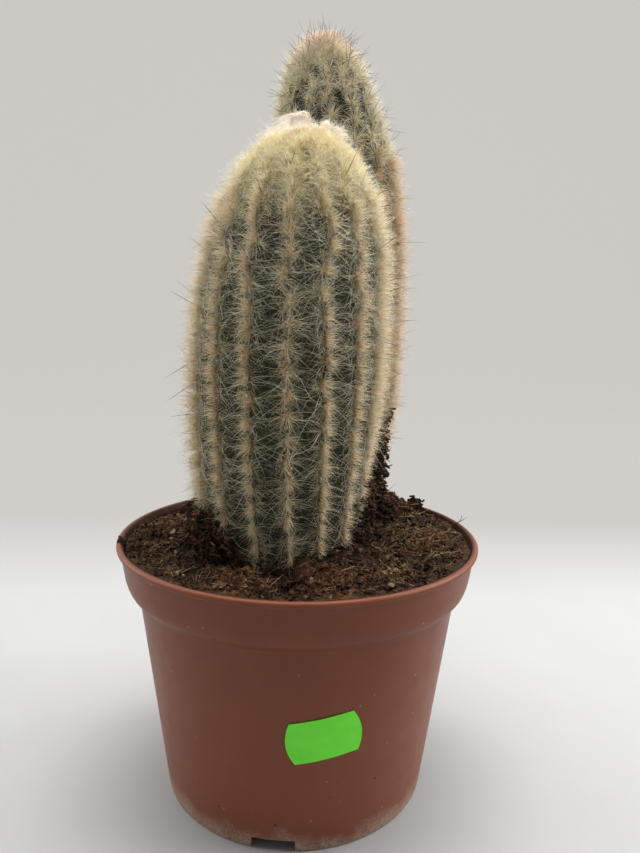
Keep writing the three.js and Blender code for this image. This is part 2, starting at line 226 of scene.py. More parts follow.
# %% Flecks and tide
flecks, ins, outs = new_group(
    "flecks",
    {"Point": ("Vector", (0, 0, 0)), "Spacing": ("Float", 4), "Reach": ("Float", 0.2),
     "Share": ("Float", 0.3)},
    {"Mask": "Float"},
)
scale = math_node(flecks, "DIVIDE", 1.0, ins["Spacing"])
cells = add(flecks, "TexVoronoi", {"Vector": ins["Point"], "Scale": scale})
drawn = add(flecks, "SeparateColor", {0: cells.outputs["Color"]}).outputs[0]
chosen = math_node(flecks, "LESS_THAN", drawn, ins["Share"])
solid_within = math_node(flecks, "MULTIPLY", ins["Reach"], 0.6)
spot = remap(flecks, cells.outputs["Distance"], ins["Reach"], solid_within)
feed(flecks, outs["Mask"], math_node(flecks, "MULTIPLY", spot, chosen))

tide, ins, outs = new_group(
    "tide",
    {"Point": ("Vector", (0, 0, 0)), "Height": ("Float", 0), "Level": ("Float", 4), "Fade": ("Float", 3),
     "Raggedness": ("Float", 3), "Size": ("Float", 8)},
    {"Mask": "Float"},
)
wander = remap(tide, noise(tide, ins["Point"], ins["Size"], 4.0), 0.0, 1.0, -1.0, 1.0)
shifted = math_node(tide, "MULTIPLY_ADD", wander, ins["Raggedness"], ins["Height"])
top = math_node(tide, "ADD", ins["Level"], ins["Fade"])
feed(tide, outs["Mask"], remap(tide, shifted, top, ins["Level"]))
print("shared groups:", [group.name for group in bpy.data.node_groups])

# %% [markdown]
# ## The plain studio
# The plant stands on a pale floor that runs far back and then curves up into a grey wall. The paper
# turns from near white to grey a hand's breadth behind the pot, which gives the soft horizon. The light
# is wide and soft: brightest from behind and above, and a little stronger from the right, so the pot
# darkens towards the viewer and its shadow falls to the left.
#
# One bent sheet of paper makes floor and wall without a corner. Far back the paper is nearly black and
# glows evenly instead, so that the wall keeps one tone wherever the lights stand.

# %% Grids and meshes
def sweep_points(half_width=3.0, front=-3.0, back=1.1, bend=0.5, top=2.6):
    """A grid of points in metres: the floor, its bend and the wall, and its rows and columns."""
    line = [(y, 0.0) for y in np.linspace(front, back, 24)]
    line += [(back + bend * math.sin(a), bend * (1 - math.cos(a))) for a in np.linspace(0.1, math.pi / 2, 14)]
    line += [(back + bend, z) for z in np.linspace(bend + 0.2, top, 8)]
    xs = np.linspace(-half_width, half_width, 13)
    points = np.array([[(x, y, z) for x in xs] for y, z in line])
    return points.reshape(-1, 3), len(line), len(xs)


def grid_faces(rows, columns, closed=False):
    """The four corners of each cell of a grid of points, which may close on itself sideways."""
    across = np.arange(columns if closed else columns - 1)
    row, column = np.meshgrid(np.arange(rows - 1), across, indexing="ij")
    here, above = row * columns, (row + 1) * columns
    after = (column + 1) % columns
    cells = [here + column, here + after, above + after, above + column]
    return np.stack([c.ravel() for c in cells], axis=1)


def mesh_object(name, points_mm, faces, material, smooth=True):
    """An object from points in millimetres and arrays of faces, each array with one number of corners."""
    mesh = bpy.data.meshes.new(name)
    faces = [np.asarray(part, np.int32) for part in faces if len(part)]
    corners = np.concatenate([part.ravel() for part in faces])
    sizes = np.concatenate([np.full(len(part), part.shape[1], np.int32) for part in faces])
    mesh.vertices.add(len(points_mm))
    mesh.vertices.foreach_set("co", (np.asarray(points_mm, np.float64) / 1000).astype(np.float32).ravel())
    mesh.loops.add(len(corners))
    mesh.loops.foreach_set("vertex_index", corners)
    mesh.polygons.add(len(sizes))
    mesh.polygons.foreach_set("loop_start", np.concatenate([[0], np.cumsum(sizes)[:-1]]).astype(np.int32))
    mesh.update(calc_edges=True)
    mesh.polygons.foreach_set("use_smooth", np.full(len(sizes), smooth))
    mesh.materials.append(material)
    made = bpy.data.objects.new(name, mesh)
    scene.collection.objects.link(made)
    return made


print("faces of a closed grid of 3 x 8 points:", len(grid_faces(3, 8, closed=True)))

# %% Floor and wall
paper, tree, shader = new_material("studio paper", roughness=0.9, specular=0.1)
placed = place(tree, millimetres, {})
behind = add(tree, "SeparateXYZ", {0: placed["Point"]}).outputs["Y"]
patches = place(tree, mottle, {"Point": placed["Point"], "Size": 60.0, "Softness": 0.5,
                               "Dark": colour("a1a1a0"), "Light": colour("a7a7a6")})
far = remap(tree, behind, 170, 350)  # mm behind the pot's axis
feed(tree, shader["Base Color"], blend_colours(tree, far, patches["Colour"], (0.01, 0.01, 0.01, 1)))
WALL_GLOW = (0.590, 0.578, 0.547, 1)
feed(tree, shader["Emission Color"], blend_colours(tree, far, (0, 0, 0, 1), WALL_GLOW))
shader["Emission Strength"].default_value = 1.0
points, rows, columns = sweep_points()
studio = mesh_object("studio_floor", points * 1000, [grid_faces(rows, columns)], paper)
print("studio floor:", len(studio.data.polygons), "faces")

# %% Air and lamps
world = bpy.data.worlds.new("studio air")
scene.world = world
world.use_nodes = True
air = world.node_tree
direction = air.nodes.new("ShaderNodeTexCoord").outputs["Generated"]
back_share = remap(air, add(air, "SeparateXYZ", {0: direction}).outputs["Y"], -0.7, 0.6)
feed(air, air.nodes["Background"].inputs["Color"],
     blend_colours(air, back_share, (0.30, 0.30, 0.30, 1), (0.95, 0.95, 0.94, 1)))
air.nodes["Background"].inputs["Strength"].default_value = 0.8


def area_light(name, place_m, watts, size_m):
    """A square lamp that faces the middle of the plant."""
    data = bpy.data.lights.new(name, "AREA")
    data.energy, data.size = watts, size_m
    lamp = bpy.data.objects.new(name, data)
    lamp.location = place_m
    lamp.rotation_euler = (Vector((0, 0, 0.15)) - lamp.location).to_track_quat("-Z", "Y").to_euler()
    scene.collection.objects.link(lamp)


area_light("window right", (0.85, 0.10, 0.62), 9.5, 0.7)
area_light("window left", (-0.95, 0.25, 0.55), 5.8, 0.9)
area_light("ceiling", (0.0, 0.10, 1.20), 20.0, 0.9)
scene.view_settings.view_transform = "Standard"
scene.cycles.diffuse_bounces = 8  # light passes from hair to hair many times
print("lamps:", [lamp.name for lamp in bpy.data.lights])

# %% [markdown]
# ## Numbers and noise for the shapes
# A smooth line through a few measured points gives each outline. `bumps` is a repeatable random height
# over space, used for all the loose and grown surfaces.

# %% Lines, directions and rough surfaces
def spline(points, count):
    """Evenly spaced points along a smooth line through the given ones, and how far along each is."""
    p = np.array(points, float)
    p = np.vstack([2 * p[0] - p[1], p, 2 * p[-1] - p[-2]])
    t = np.linspace(0, 1, 40, endpoint=False)[:, None]
    spans = [
        0.5 * (2 * b + (c - a) * t + (2 * a - 5 * b + 4 * c - d) * t ** 2 + (3 * b - 3 * c + d - a) * t ** 3)
        for a, b, c, d in zip(p, p[1:], p[2:], p[3:])
    ]
    fine = np.vstack([*spans, p[-2]])
    run = np.concatenate([[0], np.cumsum(np.linalg.norm(np.diff(fine, axis=0), axis=1))])
    even = np.linspace(0, run[-1], count)
    return np.stack([np.interp(even, run, fine[:, k]) for k in range(p.shape[1])], axis=1), even


def around(azimuth):
    """The level direction of an azimuth in degrees: 0 is the front (-Y) and 90 is +X."""
    a = np.radians(azimuth)
    return np.stack([np.sin(a), -np.cos(a), np.zeros_like(a)], axis=-1)


def smooth_step(value, low, high):
    t = np.clip((value - low) / (high - low), 0, 1)
    return t * t * (3 - 2 * t)


def unit(vectors):
    return vectors / np.maximum(np.linalg.norm(vectors, axis=-1, keepdims=True), 1e-9)


def bumps(points, size, seed=0):
    """Random heights from -1 to 1 that vary smoothly, with bumps about this many mm across."""
    grid = np.asarray(points, float) / size + 1000
    cell = np.floor(grid).astype(np.int64)
    part = grid - cell
    part = part * part * (3 - 2 * part)
    total = np.zeros(grid.shape[:-1])
    for corner in itertools.product((0, 1), repeat=3):
        key = ((cell + corner) * (73856093, 19349663, 83492791)).sum(-1) + seed * 7919
        key = (key ^ (key >> 13)) * 1274126177 & 0xFFFFFFFF
        value = ((key ^ (key >> 16)) & 0xFFFF) / 32767.5 - 1
        total += value * np.prod(np.where(np.array(corner) == 1, part, 1 - part), axis=-1)
    return total


print("bumps at one point:", round(float(bumps(np.array([[1.0, 2.0, 3.0]]), 2.0)[0]), 3))

# %% [markdown]
# ## The pot
# A nursery pot is injection moulded: one thin tapered wall, a deep band under a small rolled lip, and a
# raised floor inside a foot ring with four drain notches. Such a round thing is drawn once as an outline
# and turned. The Screw modifier could turn it; here the rings are worked out from the outline, so that
# every radius is the measured one. The corners of a moulding are never sharp, so each is rounded first.

# %% The pot's outline
def soften(corners, steps=5):
    """An outline of (radius, z, rounding) corners with each corner rounded."""
    places = np.array([c[:2] for c in corners], float)
    line = [places[0]]
    t = np.linspace(0, 1, steps)[:, None]
    for before, (x, y, reach), after in zip(places, corners[1:-1], places[2:]):
        here = np.array((x, y))
        a = here + unit(before - here) * min(reach, np.linalg.norm(before - here) / 2.1)
        b = here + unit(after - here) * min(reach, np.linalg.norm(after - here) / 2.1)
        line.extend((1 - t) ** 2 * a + 2 * t * (1 - t) * here + t ** 2 * b)
    return np.array([*line, places[-1]])


POT_OUTLINE = [  # radius, z and rounding, from the middle of the underside round the wall to the floor
    (0, 5.0, 0), (49.1, 5.0, 0.8), (49.6, 0, 0.5), (51.5, 0, 0.7), (62.0, 79.5, 1.6), (65.5, 81.8, 2.2),
    (67.0, 86.2, 3.0), (68.5, 96.5, 0.5), (69.8, 97.0, 0.5), (70.0, 98.2, 0.5), (69.3, 99.0, 0.6),
    (67.8, 98.9, 0.7), (67.0, 96.8, 1.0), (65.6, 87.0, 2.5), (63.8, 83.6, 2.0), (60.6, 80.6, 1.5),
    (51.4, 6.6, 2.0), (0, 6.6, 0),
]


def turned_pot(material, across=192):
    """The closed shell of the pot, with this many points round it."""
    line = soften(POT_OUTLINE)
    rings = line[1:-1]
    points = rings[:, :1, None] * around(np.arange(across) * 360 / across)[None]
    points[..., 2] = rings[:, 1:]
    count = len(rings)
    middles = [(0, 0, line[0, 1]), (0, 0, line[-1, 1])]
    here = np.arange(across)
    after = (here + 1) % across
    under = np.stack([after, here, np.full(across, count * across)], axis=1)
    inside = np.stack([(count - 1) * across + here, (count - 1) * across + after,
                       np.full(across, count * across + 1)], axis=1)
    faces = [grid_faces(count, across, closed=True), under, inside]
    return mesh_object("pot_shell", np.vstack([points.reshape(-1, 3), middles]), faces, material)


print("corners of the pot's outline:", len(POT_OUTLINE))

# %% [markdown]
# Terracotta-coloured plastic is not clay: it is even in colour, slightly shiny, and shows its age in
# dust, lime and small scuffs. The lime lies round the foot, where the pot stood in hard water, and the
# inside of the band is dark with peat and with painted shade. The wall is painted lighter towards the
# foot, as the floor's bounce lights it. Wear could be painted on a picture. Nodes that know each point's
# place in millimetres need no picture, and each mark keeps its real size.

# %% Pot plastic
pot_plastic, tree, shader = new_material("terracotta plastic", roughness=0.45, specular=0.25)
placed = place(tree, millimetres, {})
base = place(tree, mottle, {"Point": placed["Point"], "Size": 16.0, "Softness": 0.35,
                            "Dark": colour("683420"), "Light": colour("733d26")})["Colour"]
painted_floor_light = remap(tree, placed["Height"], 80, 5, 0.1, 0.6)  # painted light: the wall is lighter towards the foot, as the floor's bounce lights it
base = blend_colours(tree, painted_floor_light, base, colour("8c5138"))
stretched = add(tree, "Mapping", {"Vector": placed["Point"], "Scale": (1, 1, 0.12)})
streak = place(tree, mottle, {"Point": stretched, "Size": 2.4, "Softness": 0.3})["Mask"]
base = blend_colours(tree, math_node(tree, "MULTIPLY", streak, 0.10), base, colour("8a5440"))
lime = place(tree, tide, {"Point": placed["Point"], "Height": placed["Height"], "Level": 1.2, "Fade": 7.5,
                          "Raggedness": 8.0, "Size": 9.0})["Mask"]
lime_grain = place(tree, mottle, {"Point": placed["Point"], "Size": 0.9, "Softness": 0.12})["Mask"]
lime = math_node(tree, "MULTIPLY", lime, remap(tree, lime_grain, 0, 1, 0.25, 0.8))
base = blend_colours(tree, lime, base, colour("b8a593"))
dust = place(tree, flecks, {"Point": placed["Point"], "Spacing": 5.0, "Reach": 0.10, "Share": 0.35})["Mask"]
base = blend_colours(tree, math_node(tree, "MULTIPLY", dust, 0.35), base, colour("c7a58c"))
smut = place(tree, flecks, {"Point": placed["Point"], "Spacing": 9.0, "Reach": 0.08, "Share": 0.4})["Mask"]
base = blend_colours(tree, math_node(tree, "MULTIPLY", smut, 0.8), base, colour("3c241a"))
level = add(tree, "VectorMath", {0: placed["Point"], 1: (1, 1, 0)}, operation="MULTIPLY")
from_axis = add(tree, "VectorMath", {0: level}, operation="LENGTH").outputs["Value"]
# the radius of the middle of the band's wall at each height, and a little more at the lip
wall_middle = math_node(tree, "MULTIPLY_ADD", placed["Height"], 0.13, 55.0)
wall_middle = math_node(tree, "ADD", wall_middle, remap(tree, placed["Height"], 97.5, 98.7, 0.0, 0.9))
inward = remap(tree, math_node(tree, "SUBTRACT", wall_middle, from_axis), 0.0, 0.6)
inner = math_node(tree, "MULTIPLY", inward, remap(tree, placed["Height"], 82, 86))
# painted shade and peat stain: the inside of the band above the peat and the inner half of the lip's top are
# darkened
peat_stain_and_shade = place(tree, mottle, {"Point": placed["Point"], "Size": 3.0, "Softness": 0.3})["Mask"]
peat_stain_and_shade = math_node(tree, "MULTIPLY", inner, remap(tree, peat_stain_and_shade, 0, 1, 0.75, 1.0))
base = blend_colours(tree, peat_stain_and_shade, base, colour("23150e"))
feed(tree, shader["Base Color"], base)
wear = place(tree, mottle, {"Point": placed["Point"], "Size": 7.0, "Softness": 0.3})["Mask"]
dull = math_node(tree, "ADD", remap(tree, wear, 0, 1, 0.36, 0.48), math_node(tree, "MULTIPLY", lime, 0.4))
feed(tree, shader["Roughness"], dull)
skin = place(tree, grain, {"Point": placed["Point"], "Size": 0.5})["Height"]
feed(tree, shader["Normal"], bump(tree, skin, 0.03, 0.6))
print("nodes in the pot's plastic:", len(tree.nodes))

# %% [markdown]
# Water leaves by eight holes in the floor and by the notches of the foot ring. They could be modelled
# into the rings, but a Boolean cut keeps the turned wall even, as the pins of the mould do.

# %% Turn the pot, drill its floor and notch its foot
DRAIN_HOLES, DRAIN_CIRCLE, DRAIN_RADIUS, FLOOR_TOP = 8, 35, 4.5, 6.6
NOTCHES, FIRST_NOTCH, FOOT_RADIUS = 4, -8, 51.9
NOTCH_SIZE = (15.4, 12, 9.4)  # across, through the foot ring, and twice its height

pot = turned_pot(pot_plastic)
cutter_shape = bmesh.new()
for i in range(DRAIN_HOLES):
    spot = DRAIN_CIRCLE * around((i + 0.5) * 360 / DRAIN_HOLES) + (0, 0, FLOOR_TOP)
    bmesh.ops.create_cone(cutter_shape, cap_ends=True, segments=24, radius1=DRAIN_RADIUS,
                          radius2=DRAIN_RADIUS, depth=10, matrix=Matrix.Translation(spot))
for i in range(NOTCHES):
    azimuth = FIRST_NOTCH + i * 360 / NOTCHES
    turned = Matrix.Rotation(math.radians(azimuth), 4, "Z") @ Matrix.Diagonal((*NOTCH_SIZE, 1))
    bmesh.ops.create_cube(cutter_shape, size=1,
                          matrix=Matrix.Translation(FOOT_RADIUS * around(azimuth)) @ turned)
bmesh.ops.scale(cutter_shape, vec=(0.001, 0.001, 0.001), verts=cutter_shape.verts)
cutter_mesh = bpy.data.meshes.new("cutter")
cutter_shape.to_mesh(cutter_mesh)
cutter_shape.free()
cutter = bpy.data.objects.new("cutter", cutter_mesh)
scene.collection.objects.link(cutter)
drill = pot.modifiers.new("drain holes and notches", "BOOLEAN")
drill.object, drill.operation, drill.solver = cutter, "DIFFERENCE", "EXACT"
bpy.context.view_layer.objects.active = pot
bpy.ops.object.modifier_apply(modifier=drill.name)
bpy.data.objects.remove(cutter)
pot.data.set_sharp_from_angle(angle=math.radians(50))


def finish_piece(piece, slot, *replaced):
    """Every piece rides in the pot, and the measured solids it replaces are hidden. slot is not used."""
    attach(piece, "root")
    if replaced:
        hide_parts(*replaced)
    print(piece.name, len(piece.data.polygons), "faces")


finish_piece(pot, "pot_plastic", "pot")

# %% [markdown]
# ## The price label
# A label from a hand price gun is a 26 x 16 mm piece of fluorescent paper with bulging, die-cut ends. It
# is bent round the pot's cone and pressed on by thumb, so it lies a little unevenly, with its edge just
# off the wall. It is bare here. A flat sheet could be bent by a modifier; laying its points on the cone
# at once keeps its true width.

# %% Label paper
label_paper, tree, shader = new_material("fluorescent paper", roughness=0.55, specular=0.35)
placed = place(tree, millimetres, {})
ink = place(tree, mottle, {"Point": placed["Point"], "Size": 5.0, "Softness": 0.4,
                           "Dark": colour("5fd62f"), "Light": colour("74e83c")})["Colour"]
rubbed = place(tree, flecks, {"Point": placed["Point"], "Spacing": 2.2, "Reach": 0.14, "Share": 0.16})["Mask"]
rubbed = math_node(tree, "MULTIPLY", rubbed, 0.4)
feed(tree, shader["Base Color"], blend_colours(tree, rubbed, ink, colour("b9ef9a")))
fibre = place(tree, grain, {"Point": placed["Point"], "Size": 0.35})["Height"]
feed(tree, shader["Normal"], bump(tree, fibre, 0.02, 0.5))
shader["Emission Color"].default_value = colour("58e020")
shader["Emission Strength"].default_value = 0.08  # the dye glows in daylight
print("nodes in the label's paper:", len(tree.nodes))

# %% Label shape
LABEL_HALF_EDGE, LABEL_HALF_WIDTH, LABEL_HALF_HEIGHT = 10.9, 13.0, 8.0  # half its top edge, middle, height
LABEL_PAPER, LABEL_GLUE = 0.13, 0.12
LABEL_AZIMUTH, LABEL_MIDDLE, LABEL_TILT = 9.6, 46.4, math.radians(9.2)


def pot_radius(z):
    """The radius of the outside of the pot's tapered wall."""
    return 51.6 + (62.0 - 51.6) * z / 79.5


def label_points(lift, columns=49, rows=31):
    """One side of the label, this far off the glue, and its rows and columns."""
    u, v = np.meshgrid(np.linspace(-1, 1, columns), np.linspace(-1, 1, rows))
    across = u * (LABEL_HALF_EDGE + (LABEL_HALF_WIDTH - LABEL_HALF_EDGE) * (1 - v ** 2))
    upward = v * LABEL_HALF_HEIGHT
    x = across * math.cos(LABEL_TILT) - upward * math.sin(LABEL_TILT)
    z = LABEL_MIDDLE + across * math.sin(LABEL_TILT) + upward * math.cos(LABEL_TILT)
    flat = np.stack([x, np.zeros_like(x), z], axis=-1)
    edge = np.maximum(np.abs(u), np.abs(v)) ** 12
    stand = LABEL_GLUE + lift + 0.07 * bumps(flat, 6.0, 3) + 0.10 * edge * (1 + bumps(flat, 4.0, 5))
    way = around(LABEL_AZIMUTH + np.degrees(x / pot_radius(z)))
    points = way * (pot_radius(z) + stand)[..., None]
    points[..., 2] = z
    return points.reshape(-1, 3), rows, columns


front_side, rows, columns = label_points(LABEL_PAPER)
back_side, _, _ = label_points(0.0)
cells = grid_faces(rows, columns)
grid = np.arange(rows * columns).reshape(rows, columns)
border = np.concatenate([grid[0], grid[1:, -1], grid[-1, -2::-1], grid[-2:0:-1, 0]])
after = np.roll(border, -1)
sides = np.stack([border, border + rows * columns, after + rows * columns, after], axis=1)
faces = [np.vstack([cells, cells[:, ::-1] + rows * columns, sides])]
label = mesh_object("label", np.vstack([front_side, back_side]), faces, label_paper)
label.data.set_sharp_from_angle(angle=math.radians(50))
finish_piece(label, "label_paper", "price_label")

# %% [markdown]
# ## The lie of the peat
# Somebody firmed the peat by hand: it is heaped against the left of the front column and round the back
# one, and it sinks a little at the back left. It could be sculpted. A few soft heaps, added up, are the
# frame's own, so that the loose surface stays on the measured one, and they can be asked for the height
# of any point, which tells the plants where their coat ends.

# %% Height of the peat
HEAPS = [  # x, y, height, width
    (37, 40, 8, 13), (30, 24, 4, 10), (-31, -17, 11, 7.5), (-38, 8, 2, 12), (12, -30, 5, 9),
    (14, -52, 1.6, 12), (-16, -42, -1.8, 8), (-44, 44, -4.5, 17), (-8, 54, -2.5, 14),
    (-24, -55, 1.4, 10), (44, -14, 1.2, 14),
]
PEAT_LEVEL, PEAT_TOP_AT_WALL = 97.0, 97.4


def peat_height(x, y):
    """The lie of the peat, without its roughness."""
    from_middle = np.hypot(x, y)
    z = PEAT_LEVEL + 1.4 * (1 - smooth_step(from_middle, 30, 66))
    for heap_x, heap_y, height, width in HEAPS:
        z = z + height * np.exp(-((x - heap_x) ** 2 + (y - heap_y) ** 2) / (2 * width ** 2))
    near_wall = smooth_step(from_middle, 52, 63)
    return z + (np.minimum(z, PEAT_TOP_AT_WALL) - z) * near_wall


print("peat in front of the columns, mm:", round(float(peat_height(0.0, -50.0)), 1))

# %% [markdown]
# ## The two columns
# A column is its axis, the outline over its rib crests, and sixteen ribs. Near the apex the ribs are
# young and shallow, and they fade out again where the column narrows into the peat. A subdivided tube
# could be sculpted into this, but then nothing would know where a crest is. Here a rule gives any place
# on the skin from a run along the outline and an azimuth, and all that grows asks the same rule.

# %% Column geometry
RIBS = 16
RIB_PITCH = 360 / RIBS
RIB_DEPTH = 4.6
DEGREES = 57.3  # in a radian
RIB_HEIGHT = 139  # where the azimuth of the first rib is given; the front column's ribs twist a little


class Column:
    """A column: places on its skin are given as a run along its outline, in mm, and an azimuth."""

    def __init__(self, axis, outline, first_rib, twist, seed):
        self.axis, _ = spline(axis, 240)
        self.line, self.run = spline(outline, 480)
        self.first_rib, self.twist = first_rib, twist
        self.random = np.random.default_rng(seed)
        slope = np.gradient(self.line, self.run, axis=0)
        self.outward = unit(np.stack([slope[:, 1], -slope[:, 0]], axis=1))
        self.length = self.run[-1]
        self.apex = self.line[-1, 1]
        middle = self.centre(PEAT_LEVEL)
        self.ground = float(peat_height(middle[0], middle[1]))

    def centre(self, z):
        """Where the axis is at this height."""
        return np.stack([np.interp(z, self.axis[:, 2], self.axis[:, k]) for k in (0, 1)], axis=-1)

    def at(self, run, line):
        """What a line that follows the outline says at this run."""
        return np.stack([np.interp(run, self.run, line[:, k]) for k in (0, 1)], axis=-1)

    def place(self, run, azimuth, raised=0.0):
        """A point that stands this far out from the crest surface."""
        here, out, way = self.at(run, self.line), self.at(run, self.outward), around(azimuth)
        radius = here[..., 0] + raised * out[..., 0]
        points = way * radius[..., None]
        points[..., :2] += self.centre(here[..., 1])
        points[..., 2] = here[..., 1] + raised * out[..., 1]
        return points

    def directions(self, run, azimuth):
        """Outward, across (to the right, seen from outside) and along (up the rib)."""
        out, way = self.at(run, self.outward), around(azimuth)
        outward = way * out[..., :1]
        outward[..., 2] = out[..., 1]
        across = around(np.asarray(azimuth) + 90)
        return outward, across, np.cross(outward, across)

    def outside(self, points):
        """How far points lie outside the crest surface."""
        z = points[..., 2]
        level = np.linalg.norm(points[..., :2] - self.centre(z), axis=-1)
        return np.maximum(level - np.interp(z, self.line[:, 1], self.line[:, 0]), z - self.apex)

    def rib_turn(self, run):
        """The azimuth of the first rib."""
        return self.first_rib + self.twist * (self.at(run, self.line)[..., 1] - RIB_HEIGHT)

    def rib_depth(self, run):
        """How deep the valleys are, in mm."""
        radius, z = np.moveaxis(self.at(run, self.line), -1, 0)
        return RIB_DEPTH * smooth_step(z, self.ground - 3, self.ground + 12) * smooth_step(radius, 1, 22)


FRONT = Column(
    axis=[(-7.6, -11, 74), (-7, -12, 97), (-6.6, -13.4, 135), (-4.6, -14.6, 180), (-2.1, -15.4, 220),
          (-0.5, -15.8, 244)],
    outline=[(14.5, 74.5), (21.5, 79), (25.8, 90), (27.2, 100), (28.9, 113), (31.2, 134), (32.3, 156),
             (32.2, 178), (30.9, 198), (28.2, 212), (23.2, 227), (16.6, 237), (8.6, 242.6), (1.2, 244)],
    first_rib=4,
    twist=-0.1,  # degrees per mm of height
    seed=101,
)
BACK = Column(
    axis=[(16.6, 35, 76), (16.4, 36.2, 100), (16.2, 38.2, 150), (15.2, 39.6, 200), (12.9, 40, 240),
          (8.6, 40.2, 275), (7, 40.2, 296)],
    outline=[(9, 77), (13, 82), (15.8, 94), (17.2, 104), (19.8, 122), (22.8, 150), (24.6, 188), (25.2, 216),
             (24.3, 238), (21.6, 258), (17.4, 274), (12.4, 285.6), (6.4, 293.4), (1, 296)],
    first_rib=-2.5,
    twist=0,
    seed=202,
)
print("outline lengths, mm:", round(FRONT.length), round(BACK.length))

# %% [markdown]
# Areoles sit on the crests, 7 mm apart on grown ribs. New ones form at the apex, so they crowd there,
# and neighbouring ribs are half a step out of line. A straight row looks knitted, so each strays a little
# from its crest, most near the apex. Everything that grows starts from these spots.

# %% Set out the areoles
AREOLE_STEP, YOUNG_STEP, FIRST_STEP = 7.3, 2.8, 2.2


def areoles(column):
    """Each areole's run, azimuth and rib, from the apex down to the peat."""
    found = []
    for rib in range(RIBS):
        down = FIRST_STEP + (0.5 if rib % 2 else 0) * YOUNG_STEP
        while down < column.length:
            run = column.length - down
            radius, z = column.at(run, column.line)
            stray = 0.25 + 1.0 * smooth_step(column.apex - z, 75, 30)
            aside = column.random.normal(0, stray) * DEGREES / max(radius, 5)
            turn = column.rib_turn(run) + rib * RIB_PITCH + aside
            spot = column.place(np.array(run), np.array(turn))
            if z < peat_height(spot[0], spot[1]) + 0.8 and radius < 28:
                break
            if radius > 4.5 or rib % 2 == 0:
                found.append((run, turn, rib))
            step = YOUNG_STEP + (AREOLE_STEP - YOUNG_STEP) * smooth_step(down, 2, 42)
            down += step * column.random.uniform(0.93, 1.07)
    return np.array(found)


FRONT.areoles, BACK.areoles = areoles(FRONT), areoles(BACK)
print("areoles:", len(FRONT.areoles), len(BACK.areoles))

# %% [markdown]
# The skin is a grid wrapped round the outline and pushed in between the crests. The crest is rounded and
# the valley is a sharp fold. Each areole sits on a low swelling, and the whole has the slight
# unevenness of flesh. A displaced texture could do this too, but would smear the folds.

# %% Skin of a column
def skin_piece(name, column, material, slot, node, per_rib=14):
    """The skin of a column, a row of points for each millimetre, in place of its measured solid."""
    rows = int(column.length)
    run = np.linspace(0, column.length, rows)
    across = np.arange(RIBS * per_rib)
    offset = (across % per_rib) / per_rib  # from one crest to the next
    offset = np.where(offset > 0.5, offset - 1, offset)
    rib = (across // per_rib + (across % per_rib > per_rib / 2)) % RIBS
    azimuth = column.rib_turn(run)[:, None] + across * RIB_PITCH / per_rib
    depth = column.rib_depth(run)[:, None]
    relief = -depth * np.abs(2 * offset[None]) ** 1.7
    radius = column.at(run, column.line)[:, :1]
    sideways = offset[None] * RIB_PITCH / DEGREES * radius
    for this_rib in range(RIBS):
        mine = rib == this_rib
        runs = column.areoles[column.areoles[:, 2] == this_rib, 0]
        gap = np.min(np.abs(run[:, None] - runs[None]), axis=1)[:, None]
        swelling = np.exp(-(gap / 2.4) ** 2) * np.exp(-(sideways[:, mine] / 2.6) ** 2)
        relief[:, mine] += (0.75 * swelling - 0.25) * smooth_step(radius, 2, 16)
    points = column.place(run[:, None], azimuth, relief)
    points += column.directions(run[:, None], azimuth)[0] * 0.3 * bumps(points, 7.0, 4)[..., None]
    count = len(across)
    ends = [column.place(np.array(0.0), 0.0), column.place(np.array(column.length), 0.0)]
    for end, row in zip(ends, (points[0], points[-1])):
        end[:] = row.mean(axis=0)
    here, after = np.arange(count), (np.arange(count) + 1) % count
    last = (rows - 1) * count
    caps = [np.stack([after, here, np.full(count, rows * count)], axis=1),
            np.stack([last + here, last + after, np.full(count, rows * count + 1)], axis=1)]
    faces = [grid_faces(rows, count, closed=True), np.vstack(caps)]
    finish_piece(mesh_object(name, np.vstack([points.reshape(-1, 3), ends]), faces, material), slot, node)


print("valleys half way up, mm deep:", round(float(FRONT.rib_depth(FRONT.length / 2)), 1))

# %% [markdown]
# Between the hairs the skin is a dark, dusty green. It has small pale breathing pores, and it turns
# corky brown in a ragged line where it meets the peat. The youngest is pale yellow. Both columns share
# one recipe, with their own greens and heights.

# %% Skin material
def skin_material(name, dark, light, foot, young):
    """Two greens, the height where the cork ends and the height where the young skin starts."""
    material, tree, shader = new_material(name, roughness=0.62, specular=0.35)
    placed = place(tree, millimetres, {})
    body = place(tree, mottle, {"Point": placed["Point"], "Size": 9.0, "Softness": 0.3,
                                "Dark": colour(dark), "Light": colour(light)})["Colour"]
    pores = place(tree, flecks, {"Point": placed["Point"], "Spacing": 0.9, "Reach": 0.3, "Share": 0.5})
    pores = math_node(tree, "MULTIPLY", pores["Mask"], 0.28)
    body = blend_colours(tree, pores, body, colour("a9ac92"))
    cork = place(tree, tide, {"Point": placed["Point"], "Height": placed["Height"], "Level": foot,
                              "Fade": 16.0, "Raggedness": 14.0, "Size": 7.0})["Mask"]
    body = blend_colours(tree, math_node(tree, "MULTIPLY", cork, 0.75), body, colour("4a3b29"))
    youth = remap(tree, placed["Height"], young - 14, young + 4)
    body = blend_colours(tree, youth, body, colour("b3a66a"))
    feed(tree, shader["Base Color"], body)
    fine = place(tree, grain, {"Point": placed["Point"], "Size": 0.7})["Height"]
    feed(tree, shader["Normal"], bump(tree, fine, 0.12, 0.7))
    return material


skin_piece("front_skin", FRONT, skin_material("front skin", "282b18", "3c3e27", 99.0, 228),
           "front_skin", "front_stem")
skin_piece("back_skin", BACK, skin_material("back skin", "262a1a", "383b28", 104.0, 298),
           "back_skin", "back_stem")

